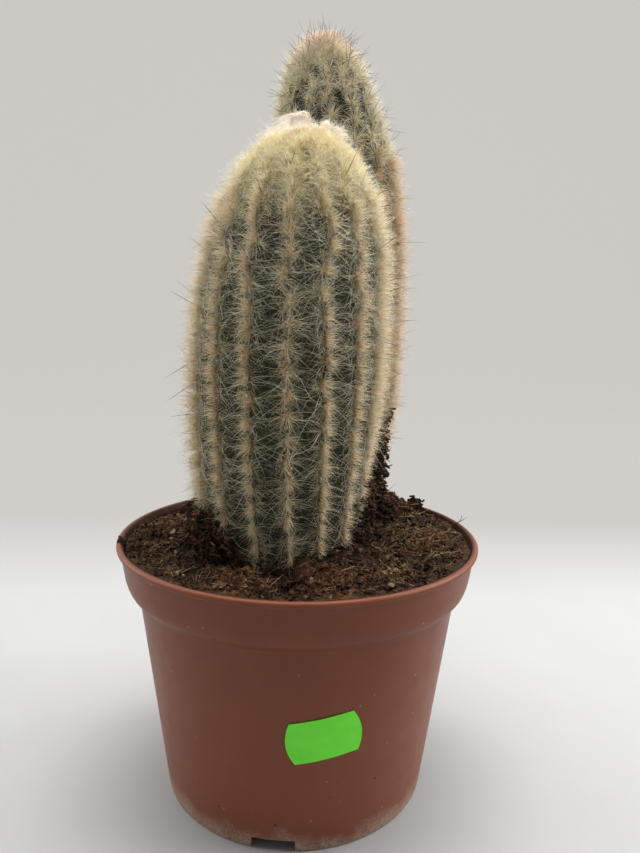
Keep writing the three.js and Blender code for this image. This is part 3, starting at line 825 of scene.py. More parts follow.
# %% [markdown]
# ## Strands
# Hair, bristles, spines, wool and peat fibres are all the same thing to make: a path, a thickness that
# tapers, and three flat sides that shade round. Blender's own hair curves are quicker to comb, but they
# aren't a mesh, and this part is kept as meshes. Each strand draws a tone from 0 to 1. The strand's map
# stores the tone across and the way from root to tip upwards, so that one small material can colour
# thousands of strands.

# %% Strand meshes
STRAND_MAP = "OFBake"
TONES = 48
MOST_TRIANGLES = 190_000


def triangles_each(steps):
    """How many triangles a strand of so many points has."""
    return (steps - 2) * 6 + 4


def strand_piece(name, paths, thick, tones, material, blunt):
    """One mesh of three-sided strands. blunt is how much of its width a strand keeps to the tip."""
    count, steps, _ = paths.shape
    rings = steps - 1
    ahead = unit(np.gradient(paths, axis=1))
    steady = np.where(np.abs(ahead[..., 2:]) < 0.9, (0.0, 0.0, 1.0), (1.0, 0.0, 0.0))
    side = unit(np.cross(ahead, steady))
    over = np.cross(side, ahead)
    share = np.linspace(0, 1, steps)
    width = thick[:, None] / 2 * (blunt + (1 - blunt) * (1 - share[None, :rings]) ** 0.7)
    turn = np.arange(3) * 2 * math.pi / 3
    spread = side[:, :rings, None] * np.cos(turn)[:, None] + over[:, :rings, None] * np.sin(turn)[:, None]
    ring_points = paths[:, :rings, None] + spread * width[..., None, None]
    points = np.concatenate([ring_points.reshape(count, rings * 3, 3), paths[:, -1:]], axis=1)

    ring, k = np.meshgrid(np.arange(rings - 1), np.arange(3), indexing="ij")
    ring, k, after = ring.ravel(), k.ravel(), (k.ravel() + 1) % 3
    quads = np.stack([ring * 3 + k, ring * 3 + after, ring * 3 + 3 + after, ring * 3 + 3 + k], axis=1)
    quad_u = np.stack([k, k + 1, k + 1, k], axis=1) / 3
    quad_v = np.stack([ring, ring, ring + 1, ring + 1], axis=1) / rings
    k, last = np.arange(3), (rings - 1) * 3
    tips = np.stack([last + k, last + (k + 1) % 3, np.full(3, rings * 3)], axis=1)
    tip_u = np.stack([k, k + 1, k + 0.5], axis=1) / 3
    tip_v = np.array([[rings - 1, rings - 1, rings]] * 3) / rings
    triangles = np.vstack([tips, [[2, 1, 0]]])
    triangle_u = np.vstack([tip_u, [[0.9, 0.5, 0.1]]])
    triangle_v = np.vstack([tip_v, [[0.0, 0.01, 0.0]]])

    first = (np.arange(count) * (rings * 3 + 1))[:, None, None]
    faces = [(first + quads).reshape(-1, 4), (first + triangles).reshape(-1, 3)]
    piece = mesh_object(name, points.reshape(-1, 3), faces, material)
    tone = np.floor(np.clip(tones, 0, 0.9999) * TONES)[:, None, None]
    u = [(tone + 0.15 + 0.7 * part) / TONES for part in (quad_u, triangle_u)]
    v = [np.broadcast_to(0.02 + 0.96 * part, u[i].shape) for i, part in enumerate((quad_v, triangle_v))]
    flat = np.stack([np.concatenate([part.ravel() for part in parts]) for parts in (u, v)], axis=1)
    layer = piece.data.uv_layers.new(name=STRAND_MAP)
    layer.uv.foreach_set("vector", flat.astype(np.float32).ravel())
    return piece


def strand_pieces(name, paths, thick, tones, material, slot, blunt=0.0):
    """Strands along paths (strand, point, xyz), thick in mm at the root, in pieces of a bearable size."""
    steps = paths.shape[1]
    most = MOST_TRIANGLES // triangles_each(steps)
    parts = max(1, math.ceil(len(paths) / most))
    for part in range(parts):
        pick = slice(part, None, parts)
        label = name if parts == 1 else f"{name}_{part + 1}"
        finish_piece(strand_piece(label, paths[pick], thick[pick], tones[pick], material, blunt), slot)


print("triangles in a hair of five points:", triangles_each(5))

# %% [markdown]
# One group colours every kind of strand: root, body and tip colours, lighter or darker by its tone. The
# highest tones turn towards a rarer colour, such as the rust of old felt, because no two hairs of a real
# plant match. The columns differ too: the front one's bristles are cream, the back one's are rosy.

# %% Strand colours
strand_colour, ins, outs = new_group(
    "strand colour",
    {"Root": ("Color", (0, 0, 0, 1)), "Body": ("Color", (0, 0, 0, 1)), "Tip": ("Color", (0, 0, 0, 1)),
     "Rare": ("Color", (0, 0, 0, 1)), "Variation": ("Float", 0.3)},
    {"Colour": "Color"},
)
map_place = add(strand_colour, "SeparateXYZ", {0: add(strand_colour, "UVMap", {}, uv_map=STRAND_MAP)}).outputs
tone, from_root = map_place["X"], map_place["Y"]
above_root = remap(strand_colour, from_root, 0.0, 0.35)
lower = blend_colours(strand_colour, above_root, ins["Root"], ins["Body"])
near_tip = remap(strand_colour, from_root, 0.45, 1.0)
whole = blend_colours(strand_colour, near_tip, lower, ins["Tip"])
odd_ones = remap(strand_colour, tone, 0.82, 0.98, 0.0, 0.85)
rare = blend_colours(strand_colour, odd_ones, whole, ins["Rare"])
swing = math_node(strand_colour, "MULTIPLY", remap(strand_colour, tone, 0, 1, -1, 1), ins["Variation"])
value = math_node(strand_colour, "ADD", 1.0, swing)
varied = add(strand_colour, "HueSaturation", {"Value": value, "Color": rare})
feed(strand_colour, outs["Colour"], varied)


def strand_material(name, root, body, tip, rare, variation=0.3, roughness=0.55, specular=0.3):
    """A material for strands, from four colours and how far their tones spread."""
    material, tree, shader = new_material(name, roughness, specular)
    picked = place(tree, strand_colour, {"Root": colour(root), "Body": colour(body), "Tip": colour(tip),
                                         "Rare": colour(rare), "Variation": variation})
    feed(tree, shader["Base Color"], picked["Colour"])
    return material


FELT = strand_material("areole felt", "9c7a52", "bfa37c", "d8c6a4", "b6713f", 0.3)
PALE_FELT = strand_material("young felt", "a8986c", "d6c898", "ece0b8", "c9a878", 0.25)
GREY_HAIR = strand_material("grey hair", "aea478", "d8cda4", "efe6c8", "f9f2de", 0.3, specular=0.15)
WHITE_HAIR = strand_material("white hair", "bdb99f", "e6e2cc", "f5f2e2", "fffdf4", 0.2, specular=0.2)
BRISTLE = strand_material("cream bristle", "dcc89e", "f8ebc8", "f4e0be", "d8a078", 0.34, specular=0.2)
ROSY_BRISTLE = strand_material("rosy bristle", "c4a27c", "e4caa2", "e0bc98", "c88464", 0.34, specular=0.2)
CROWN_BRISTLE = strand_material("yellow bristle", "f0da90", "fbf1c8", "fcf7e0", "e8c070", 0.1)
DOME_BRISTLE = strand_material("dome bristle", "c4b88e", "e6deba", "f3ecd2", "d0ae88", 0.25, specular=0.2)
TIP_BRISTLE = strand_material("tip bristle", "e6d8ae", "f4e9cc", "f4dcc6", "d89880", 0.12, specular=0.2)
DARK_SPINE = strand_material("dark spine", "8d6540", "5f3a2a", "3a2019", "7d3626", 0.3, roughness=0.4)
WOOL = strand_material("plant wool", "efe2cc", "f8efe0", "fcf8f0", "fffdf8", 0.16, roughness=0.8)
OCHRE_DOWN = strand_material("ochre down", "cfa44c", "e4c26c", "eed694", "c89048", 0.15, roughness=0.7)
print("materials that use the strand colours:", strand_colour.users)

# %% [markdown]
# ## Growing strands out of the areoles
# Each kind of strand is a rule: how many, how long, how steeply they stand off the skin, which way they
# fan out, and how much they sag and wave. Combing by hand would follow one view; a rule dresses all
# sides alike. Strands that would run into the peat or into the other column are left out, as the plant's
# own are rubbed off there. Old hair low on a column is worn short, most on the flanks that were brushed.

# %% The growing rule
def spots_of(column, keep=None):
    """The areoles as places with their directions. keep chooses them by their height and radius."""
    run, azimuth, rib = column.areoles.T
    radius, z = np.moveaxis(column.at(run, column.line), -1, 0)
    outward, across, along = column.directions(run, azimuth)
    root = column.place(run, azimuth, 0.35)
    chosen = np.ones(len(run), bool) if keep is None else keep(z, radius)
    spots = dict(root=root, outward=outward, across=across, along=along, radius=radius, z=z)
    return SimpleNamespace(**{key: value[chosen] for key, value in spots.items()})


def grow(spots, random, each, length, lift, fan=None, sag=0.1, curl=0.1, wave=0.0, pad=(0.4, 0.6), steps=5):
    """Paths of strands. length and lift are (middle, spread) pairs, and fan is the spread round the
    sideways direction in degrees, or None for all round. pad is how widely the roots are strewn, across
    and along the rib."""
    count = len(spots.root) * each
    root, outward, across, along = (
        np.repeat(part, each, axis=0) for part in (spots.root, spots.outward, spots.across, spots.along)
    )
    if fan is None:
        turn = random.uniform(0, 2 * math.pi, count)
    else:
        turn = random.choice((-1, 1), count) * np.radians(90 + random.normal(0, fan, count))
    rise = np.radians(np.clip(random.normal(*lift, count), 3, 89))
    level = np.cos(turn)[:, None] * along + np.sin(turn)[:, None] * across
    way = np.cos(rise)[:, None] * level + np.sin(rise)[:, None] * outward
    size = np.clip(random.normal(*length, count), 0.35 * length[0], 2 * length[0])
    aside, along_rib = random.normal(0, pad[0], (count, 1)), random.normal(0, pad[1], (count, 1))
    # the roots lie a little inside the skin, deeper away from the crest
    at = root + aside * across + along_rib * along - (0.4 + 0.5 * np.abs(aside)) * outward
    stray = random.normal(0, 0.11, (count, 3))
    drop = np.array((0, 0, -1.0)) * sag - outward * curl * np.cos(rise)[:, None] + stray
    share = np.linspace(0, 1, steps)[None, :, None]
    paths = at[:, None] + size[:, None, None] * (way[:, None] * share + drop[:, None] * share ** 2)
    if wave:
        swing = unit(np.cross(way, random.normal(0, 1, (count, 3))))
        phase = random.uniform(0, 2 * math.pi, (count, 1, 1))
        beat = random.uniform(0.6, 1.5, (count, 1, 1))
        shift = np.sin(share * beat * 2 * math.pi + phase) - np.sin(phase)
        paths += swing[:, None] * wave * size[:, None, None] * shift * share
    return paths


RUBBED = [  # x, y, z and radius of the places where the fur is buried in peat or rubbed off
    (-30.5, -26, 101, 8), (-34, -15, 103, 7), (-26, -32, 99, 7), (-20.5, -36.5, 97, 4), (-34, -17, 109, 7),
    (-31, -28, 108, 7), (-26, -34, 104, 5), (22, -18, 99, 7), (24, -10, 104, 8), (25, -8, 112, 7),
    (26, -6, 119, 5),
]
WORN = [(26, -15, 120, 22), (34, 28, 120, 18)]  # x, y, z and radius of the flanks that were brushed short


def worn_length(roots):
    """The share of its length that a hair has kept: the oldest, low on the column, are worn short."""
    kept = 0.82 + 0.18 * smooth_step(roots[:, 2], 105, 170)
    for *middle, radius in WORN:
        kept = kept * (1 - 0.38 * np.exp(-(np.linalg.norm(roots - middle, axis=1) / radius) ** 2))
    return kept[:, None, None]


def clear_of(paths, other):
    """True for strands that reach neither the other column nor the peat."""
    outer = paths[:, 1:]
    clear = (outer[..., 2] > peat_height(outer[..., 0], outer[..., 1])).all(axis=1)
    clear &= (other.outside(outer) > 0.2).all(axis=1)
    for *middle, radius in RUBBED:
        clear &= np.linalg.norm(outer - middle, axis=-1).min(axis=1) > radius
    return clear


def coat(name, column, other, material, slot, thick, keep=None, alike=0.0, **rule):
    """Grows one kind of strand over a column. alike is how far the strands of one areole share a tone."""
    random = column.random
    spots = spots_of(column, keep)
    paths = grow(spots, random, **rule)
    paths = paths[:, :1] + (paths - paths[:, :1]) * worn_length(paths[:, 0])
    clear = clear_of(paths, other)
    paths = paths[clear]
    shared = np.repeat(random.random(len(spots.root)), rule["each"])[clear]
    tones = alike * shared + (1 - alike) * random.random(len(paths))
    widths = thick * random.uniform(0.75, 1.25, len(paths))
    strand_pieces(name, paths, widths, tones, material, slot)


print("share of its length that hair keeps at heights 100, 140 and 180 mm:",
      worn_length(np.array([(0, 0, 100.0), (0, 0, 140.0), (0, 0, 180.0)])).round(2).ravel())

# %% [markdown]
# ### Areole cushions
# A cushion is a low mound of tan felt, a little taller than wide, with short hairs of felt standing out
# of it. Old ones turn orange-brown. A row of them makes the warm line down each rib. Felt hairs alone
# would let the green skin show between them, so each cushion starts with a solid mound.

# %% Felt mounds
felt_mound, tree, shader = new_material("felt mound", roughness=0.95, specular=0.1)
placed = place(tree, millimetres, {})
worn = place(tree, mottle, {"Point": placed["Point"], "Size": 11.0, "Softness": 0.22,
                            "Dark": colour("ac875a"), "Light": colour("c6b08c")})["Colour"]
youth = remap(tree, placed["Height"], 195, 240)
worn = blend_colours(tree, youth, worn, colour("d2c698"))
matted = place(tree, mottle, {"Point": placed["Point"], "Size": 0.6, "Softness": 0.25})["Mask"]
matted = math_node(tree, "MULTIPLY", matted, 0.35)
feed(tree, shader["Base Color"], blend_colours(tree, matted, worn, colour("6e4c30")))
fuzz = place(tree, grain, {"Point": placed["Point"], "Size": 0.35})["Height"]
feed(tree, shader["Normal"], bump(tree, fuzz, 0.25))


MOUND = (0.95, 1.7, 0.95)  # half sizes across and along the rib and outwards


def ball_mesh(subdivisions):
    """Points and triangles of a ball of radius 1."""
    shape = bmesh.new()
    bmesh.ops.create_icosphere(shape, subdivisions=subdivisions, radius=1)
    points = np.array([v.co[:] for v in shape.verts])
    faces = np.array([[v.index for v in f.verts] for f in shape.faces])
    shape.free()
    return points, faces


def mounds(name, column, slot):
    """One low mound of felt at each areole, smaller near the axis, where the areoles are young."""
    spots = spots_of(column)
    ball, faces = ball_mesh(2)
    random = column.random
    size = smooth_step(spots.radius, 0, 14)[:, None, None] * 0.5 + 0.5
    scale = random.uniform(0.8, 1.2, (len(spots.root), 1, 1)) * size
    lumps = 1 + 0.16 * random.normal(0, 1, (len(spots.root), len(ball), 1))
    shape = ball[None] * MOUND * scale * lumps
    points = (spots.root[:, None] + shape[..., :1] * spots.across[:, None]
              + shape[..., 1:2] * spots.along[:, None] + shape[..., 2:] * spots.outward[:, None])
    first = (np.arange(len(spots.root)) * len(ball))[:, None, None]
    finish_piece(mesh_object(name, points.reshape(-1, 3), [(first + faces).reshape(-1, 3)], felt_mound), slot)


mounds("front_areoles", FRONT, "front_skin")
mounds("back_areoles", BACK, "back_skin")

# %% [markdown]
# ### Hair, bristles and spines
# A column has zones by height. Up to its dome every cushion is grown: grey hairs fan out sideways over
# the valleys and cross those of the next rib, and bristles stand steeper and make the soft fringe at the
# outline. At the crown the strands are young: yellow on the front column, pale and rosy on the back
# one. The front column's very tip grows nothing of this, because its wool covers it.

# %% The zones, and one kind of strand on one of them
GROUND, SKY = 0.0, 999.0  # heights under and over all that grows
LONGER_SPINES = 45  # mm down from the apex

FRONT_ZONES = SimpleNamespace(
    dome=219.0, crown=219.0,  # heights where the dome and the crown start
    bare=9.5,  # nothing grows nearer to the axis
    bristle=BRISTLE, top=CROWN_BRISTLE,
    spines=1, spiny_to=230.0,  # how many at each areole, and how high up
)
BACK_ZONES = SimpleNamespace(
    dome=246.0, crown=289.0, bare=0.0, bristle=ROSY_BRISTLE, top=TIP_BRISTLE, spines=4, spiny_to=SKY,
)


def grower(label, column, other, zones):
    """A function that grows one kind of strand on this column, between two heights."""
    def grow_kind(kind, material, thick, low, high, **rule):
        coat(f"{label}_{kind}", column, other, material, label + "_skin", thick,
             lambda z, radius: (z >= low) & (z < high) & (radius > zones.bare), **rule)
    return grow_kind


print("zones of the front column:", FRONT_ZONES.dome, "mm and up; of the back one:", BACK_ZONES.dome)

# %% [markdown]
# Both columns wear the same kinds. Each line below is one kind, from the skin outwards: the felt of the
# cushions, a flat star of short hairs round each cushion, bristles and a few longer ones that guard
# them, the wavy hair over the valleys, the few long white ones, the crown's two kinds, and dark spines.

# %% What both columns wear
def common_coat(grow_kind, zones, apex):
    """All the kinds of strand that grow on both columns."""
    dome, crown, spiny = zones.dome, zones.crown, apex - LONGER_SPINES
    grow_kind("felt", FELT, 0.16, GROUND, dome - 6, each=28, length=(1.3, 0.35), lift=(60, 18),
              pad=(0.35, 1.0), steps=3, alike=0.8)
    grow_kind("young_felt", PALE_FELT, 0.16, dome - 6, crown, each=22, length=(1.8, 0.45), lift=(55, 20),
              pad=(0.4, 0.7), steps=3, alike=0.5)
    grow_kind("star", GREY_HAIR, 0.09, GROUND, dome + 5, each=44, length=(4.8, 1.3), lift=(30, 17), fan=55,
              sag=0.04, pad=(0.4, 1.0), steps=3, alike=0.4)
    grow_kind("bristles", zones.bristle, 0.14, GROUND, dome + 5, each=100, length=(5.8, 1.6), lift=(75, 9),
              sag=0.04, pad=(0.45, 1.9), steps=3)
    grow_kind("guards", zones.bristle, 0.18, GROUND, dome + 5, each=8, length=(7.0, 1.2), lift=(64, 13),
              sag=0.03, pad=(0.4, 1.2), steps=3)
    grow_kind("hair", GREY_HAIR, 0.10, GROUND, dome + 10, each=52, length=(8.4, 2.3), lift=(19, 11), fan=42,
              sag=0.14, curl=0.10, wave=0.09, pad=(0.5, 1.2))
    grow_kind("long_hair", WHITE_HAIR, 0.12, GROUND, dome, each=7, length=(14.0, 4.0), lift=(14, 8), fan=60,
              sag=0.25, curl=0.05, wave=0.14, pad=(0.6, 1.4), steps=8)
    grow_kind("crown", zones.top, 0.14, crown - 3, SKY, each=90, length=(4.8, 1.1), lift=(55, 20), sag=0.02,
              pad=(1.4, 1.6), steps=4)
    grow_kind("crown_web", zones.top, 0.13, crown - 3, SKY, each=60, length=(5.4, 1.4), lift=(24, 14), fan=60,
              curl=0.05, pad=(1.8, 1.6), steps=4)
    grow_kind("spines", DARK_SPINE, 0.22, GROUND, spiny, each=zones.spines, length=(7.6, 2.4), lift=(58, 14),
              sag=0.03, pad=(0.3, 0.5))
    grow_kind("dome_spines", DARK_SPINE, 0.28, spiny, zones.spiny_to, each=zones.spines, length=(8.2, 1.8),
              lift=(50, 15), sag=0.0, pad=(0.3, 0.5))


grow_on_front = grower("front", FRONT, BACK, FRONT_ZONES)
common_coat(grow_on_front, FRONT_ZONES, FRONT.apex)

# %% [markdown]
# The front column also has ochre down under its wool and a white tangle, like cobweb, over its upper
# third. A few long spines stand out at its sides. They are so few that each is placed by itself.

# %% What only the front column wears
grow_on_front("ochre_down", OCHRE_DOWN, 0.14, 238.0, SKY, each=60, length=(3.2, 0.8), lift=(50, 18),
              pad=(1.6, 1.4), steps=3)
grow_on_front("tangle", WHITE_HAIR, 0.11, 172.0, 234.0, each=46, length=(7.2, 2.0), lift=(34, 16),
              sag=0.1, curl=0.2, wave=0.18, pad=(1.4, 1.8))

LONG_SPINES = [  # azimuth, z, how far up it points in degrees, length
    (-84, 186, 28, 12), (-86, 168, -32, 13), (-82, 160, -35, 12), (-70, 214, 48, 9),
    (-84, 205, 38, 8), (-88, 148, -8, 9), (84, 192, 20, 8), (80, 176, -15, 8),
]
LONG_SPINE_THICK = 0.34


def long_spines(name, column, rows):
    """Single spines that start on a crest. Each is made a millimetre longer, to pass the felt."""
    azimuth, z, tilt, length = np.array(rows, float).T
    roots = column.place(np.interp(z, column.line[:, 1], column.run), azimuth)
    tilt = np.radians(tilt)[:, None]
    way = np.cos(tilt) * around(azimuth) + np.sin(tilt) * (0, 0, 1)
    share = np.linspace(0, 1, 5)[None, :, None]
    paths = roots[:, None] + (length[:, None, None] + 1) * way[:, None] * share
    thick, tones = np.full(len(paths), LONG_SPINE_THICK), np.linspace(0.1, 0.7, len(paths))
    strand_pieces(name, paths, thick, tones, DARK_SPINE, "front_skin")


long_spines("front_long_spines", FRONT, LONG_SPINES)

# %% [markdown]
# The back column's dome is longer and shows its cushions one by one. Each has a star of stiff pale
# bristles, more that stand up, and fine white hair between them.

# %% The back column's coat
grow_on_back = grower("back", BACK, FRONT, BACK_ZONES)
common_coat(grow_on_back, BACK_ZONES, BACK.apex)
BACK_DOME, BACK_CROWN = BACK_ZONES.dome, BACK_ZONES.crown
grow_on_back("dome_star", DOME_BRISTLE, 0.17, BACK_DOME, BACK_CROWN, each=50, length=(5.8, 1.2),
             lift=(27, 14), sag=0.02, pad=(0.4, 0.6), steps=3)
grow_on_back("dome_bristles", DOME_BRISTLE, 0.15, BACK_DOME, BACK_CROWN, each=46, length=(5.6, 1.3),
             lift=(60, 15), sag=0.02, pad=(0.5, 0.9), steps=3)
grow_on_back("dome_hair", WHITE_HAIR, 0.10, BACK_DOME, BACK_CROWN, each=32, length=(7.4, 2.0),
             lift=(30, 14), sag=0.1, curl=0.1, wave=0.12, pad=(0.5, 1.0))

# %% [markdown]
# ## The loose peat
# Potting peat is dark, springy and never level: clods, crumbs, half-rotted fibres, a few lighter bits
# of moss and root. The surface itself is a fine rough sheet from wall to wall. Loose crumbs and fibres
# are then strewn over it, because a rough sheet alone has no overhangs or shadows under its edges.
#
# One material serves them all. Each point of the mesh keeps a tone, and a ramp turns the tone into wet
# dark peat, brown peat, rust, dull moss or dry pale fibre.

# %% Peat colours
peat_colour, ins, outs = new_group(
    "peat colour",
    {"Point": ("Vector", (0, 0, 0)), "Tone": ("Float", 0.5)},
    {"Colour": "Color"},
)
region = place(peat_colour, mottle, {"Point": ins["Point"], "Size": 21.0, "Softness": 0.2,
                                     "Dark": colour("281c13"), "Light": colour("3f281a")})
clod = place(peat_colour, mottle, {"Point": ins["Point"], "Size": 3.2, "Softness": 0.2})["Mask"]
warm = blend_colours(peat_colour, clod, region["Colour"], colour("4c3623"))
crumb = place(peat_colour, mottle, {"Point": ins["Point"], "Size": 0.8, "Softness": 0.16})["Mask"]
PEAT_TONES = [  # tone and colour
    (0.0, "140e0a"), (0.45, "403023"), (0.7, "593d28"), (0.82, "7a4622"), (0.92, "625337"), (1.0, "917f63"),
]
tint = ramp(peat_colour, ins["Tone"], [(tone, colour(code)) for tone, code in PEAT_TONES])
mixed = blend_colours(peat_colour, 0.75, warm, tint)
dark_share = math_node(peat_colour, "MULTIPLY", crumb, 0.4)
feed(peat_colour, outs["Colour"], blend_colours(peat_colour, dark_share, mixed, colour("1c130d")))
print("nodes in the peat's colour:", len(peat_colour.nodes))

# %% Peat and its fibres
peat, tree, shader = new_material("peat", roughness=0.92, specular=0.15)
placed = place(tree, millimetres, {})
tone = add(tree, "Attribute", {}, attribute_name="tone").outputs["Fac"]
speckle = remap(tree, noise(tree, placed["Point"], 1.4, 4.0, 0.7), 0.3, 0.7, -0.3, 0.3)
tone = math_node(tree, "ADD", tone, speckle)
feed(tree, shader["Base Color"], place(tree, peat_colour, {"Point": placed["Point"], "Tone": tone})["Colour"])
rough = place(tree, grain, {"Point": placed["Point"], "Size": 0.6, "Harshness": 0.8})["Height"]
feed(tree, shader["Normal"], bump(tree, rough, 0.4))


def keep_tones(piece, tones):
    """Keeps a tone from 0 to 1 with each corner of the mesh."""
    layer = piece.data.attributes.new("tone", "FLOAT", "POINT")
    layer.data.foreach_set("value", np.asarray(tones, np.float32).ravel())


PEAT_FIBRE = strand_material("peat fibre", "2b1d13", "483220", "6b5036", "9c7d54", 0.4, roughness=0.85)
RED_FIBRE = strand_material("red peat fibre", "3d2317", "633a25", "85583c", "ad8160", 0.35, roughness=0.85)
MOSS_FIBRE = strand_material("dry moss", "37331e", "5b5433", "80754b", "a5966a", 0.35, roughness=0.85)
GOLD_FIBRE = strand_material("pale peat fibre", "453420", "6a5433", "8e744a", "b69d6f", 0.35, roughness=0.85)
print("materials so far:", len(bpy.data.materials))

# %% [markdown]
# The sheet follows the lie of the peat. Folded noise gives it clods with creases between them, and finer
# noise the crumb. Its rim follows the inside of the pot, and below it the peat goes on as a plain body
# down to the floor, with a hole for each column, so that it is solid from every side.

# %% The sheet of peat
WALL_INSIDE = [  # radius, z
    (51.3, 6.6), (60.6, 80.7), (63.8, 83.7), (65.6, 87.0), (67.0, 97.0), (67.6, 98.6),
]
CLEAR_OF_WALL = 0.35


def wall_radius(z):
    radii, heights = np.array(WALL_INSIDE).T
    return np.interp(z, heights, radii) - CLEAR_OF_WALL


LOOSE_HEAPS = [  # x, y, height, width
    (-19.6, -54.5, 2.6, 6), (9.6, -53, 2.8, 7), (-3.5, -55, -4.2, 3), (-4, -45, -2.5, 3.5), (32, -44, 1.2, 4),
    (44, 12, -1.5, 4), (-50, -22, -1.5, 5),
]


def peat_relief(x, y):
    """How far clods, crumbs and loose heaps stand above the lie of the peat, with creases between clods."""
    flat = np.stack([x, y, np.zeros_like(x)], axis=-1)
    shifted = flat + 1.2 * np.stack([bumps(flat, 3.0, 31), bumps(flat, 3.0, 32), 0 * x], axis=-1)
    rough = (1.5 * bumps(flat, 9.0, 21) + 3.2 * np.abs(bumps(shifted, 5.2, 22))
             + 1.8 * np.abs(bumps(shifted, 2.3, 23)))
    near_wall = 1 - 0.7 * smooth_step(np.hypot(x, y), 59, 66)
    relief = (rough - 1.9) * near_wall + 0.5 * bumps(flat, 1.0, 24) + 0.3 * bumps(flat, 0.5, 25)
    for heap_x, heap_y, height, width in LOOSE_HEAPS:
        relief = relief + height * np.exp(-((x - heap_x) ** 2 + (y - heap_y) ** 2) / (2 * width ** 2))
    return relief


def peat_surface(x, y):
    return peat_height(x, y) + peat_relief(x, y)


def peat_sheet(rings=160, across=510):
    """The rough surface and the body of peat under it, as one closed piece in place of the soil."""
    way = around(np.arange(across) * 360 / across)
    share = np.linspace(0, 1, rings + 1)[1:, None]
    rim = wall_radius(peat_surface(66 * way[:, 0], 66 * way[:, 1]))
    points = (share * rim[None])[..., None] * way[None]
    points[..., 2] = peat_surface(points[..., 0], points[..., 1])
    for column in (FRONT, BACK):  # the hole that the column stands in
        inside = column.outside(points) < -2.5
        points[..., 2] = np.where(inside, column.line[0, 1] - 1.0, points[..., 2])
    skirt = []
    for z in (86.0, 80.0, 45.0, 7.0):  # rings down the body of peat
        ring = way * wall_radius(z)
        ring[:, 2] = z
        skirt.append(ring)
    points = np.concatenate([points, np.array(skirt)])
    count = len(points)
    here, after = np.arange(across), (np.arange(across) + 1) % across
    last = (count - 1) * across
    middle = [(0, 0, float(peat_surface(np.zeros(1), np.zeros(1))[0])), (0, 0, 7.0)]
    caps = np.vstack([
        np.stack([here, after, np.full(across, count * across)], axis=1),
        np.stack([last + after, last + here, np.full(across, count * across + 1)], axis=1),
    ])
    faces = [grid_faces(count, across, closed=True)[:, ::-1], caps]
    points = np.vstack([points.reshape(-1, 3), middle])
    piece = mesh_object("peat_sheet", points, faces, peat)
    relief = peat_relief(points[:, 0], points[:, 1])
    # painted shade: the tone follows the relief, so creases are darker, and the tops of clods are dry and
    # pale
    keep_tones(piece, np.clip(0.38 + 0.22 * relief, 0.0, 0.8))
    finish_piece(piece, "peat", "soil")


peat_sheet()

# %% [markdown]
# A crumb is a ball of twenty or eighty faces with every corner pushed in or out, squashed and turned its
# own way. Most are about a millimetre across, and a few are three. Chips are drawn long and thin, and lie
# rather flat. A particle system could strew copies of one crumb, but its copies show, and here no two
# are alike.

# %% Crumbs and chips
peat_random = np.random.default_rng(33)
PEAT_REACH = 65.5  # how far loose peat lies from the pot's axis
CRUMB_SQUASH, CHIP_SQUASH = (0.35, 1.25), ((1.3, 0.45, 0.2), (2.4, 0.95, 0.5))  # smallest, largest


def turns(count, random):
    """Random rotations, as 3 x 3 arrays."""
    w, x, y, z = unit(random.normal(0, 1, (count, 4))).T
    rows = [
        (1 - 2 * (y * y + z * z), 2 * (x * y - w * z), 2 * (x * z + w * y)),
        (2 * (x * y + w * z), 1 - 2 * (x * x + z * z), 2 * (y * z - w * x)),
        (2 * (x * z - w * y), 2 * (y * z + w * x), 1 - 2 * (x * x + y * y)),
    ]
    return np.array(rows).transpose(2, 0, 1)


def crumbs(name, places, sizes, tones, subdivisions=1, chips=False):
    """A piece of loose crumbs or chips: their places and radii in mm, and their tones from 0 to 1."""
    random = peat_random
    count = len(places)
    ball, faces = ball_mesh(subdivisions)
    lumps = 1 + 0.5 * random.uniform(-1, 1, (count, len(ball), 1))
    squash = random.uniform(*(CHIP_SQUASH if chips else CRUMB_SQUASH), (count, 1, 3))
    shape = (ball[None] * lumps * squash) @ turns(count, random).transpose(0, 2, 1)
    if chips:
        shape[..., 2] *= 0.6
    points = places[:, None] + shape * np.asarray(sizes)[:, None, None]
    first = (np.arange(count) * len(ball))[:, None, None]
    piece = mesh_object(name, points.reshape(-1, 3), [(first + faces).reshape(-1, 3)], peat, smooth=False)
    keep_tones(piece, np.repeat(tones, len(ball)))
    finish_piece(piece, "peat")


print("turns are true rotations:", np.allclose(np.linalg.det(turns(3, np.random.default_rng(1))), 1))

# %% [markdown]
# The peat isn't one colour. It goes in patches, as it came out of the bag: rust at the front, straw on
# the right and olive where moss has started to grow. A crumb takes its tone from its patch, and in all
# patches a third are dark and wet.

# %% Strewing the peat
def on_peat(count, reach=PEAT_REACH):
    """Random places on the peat, clear of the columns."""
    radius = reach * np.sqrt(peat_random.random(count))
    places = around(peat_random.uniform(0, 360, count)) * radius[:, None]
    places[:, 2] = peat_surface(places[:, 0], places[:, 1])
    clear = np.minimum(FRONT.outside(places), BACK.outside(places)) > -3.5
    return places[clear]


PATCHES = {  # x, y and radius of the patches of each kind of peat
    "red": [(-20, -56, 11), (9, -54, 10), (-48, 12, 12), (38, 29, 6)],
    "gold": [(47, 0, 13), (50, -14, 10), (30, 44, 9)],
    "moss": [(32, -45, 5), (-41, -44, 3), (36, -30, 4)],
}
TONE_RANGES = {"brown": (0.0, 0.8), "red": (0.62, 0.9), "gold": (0.62, 0.95), "moss": (0.86, 0.97)}


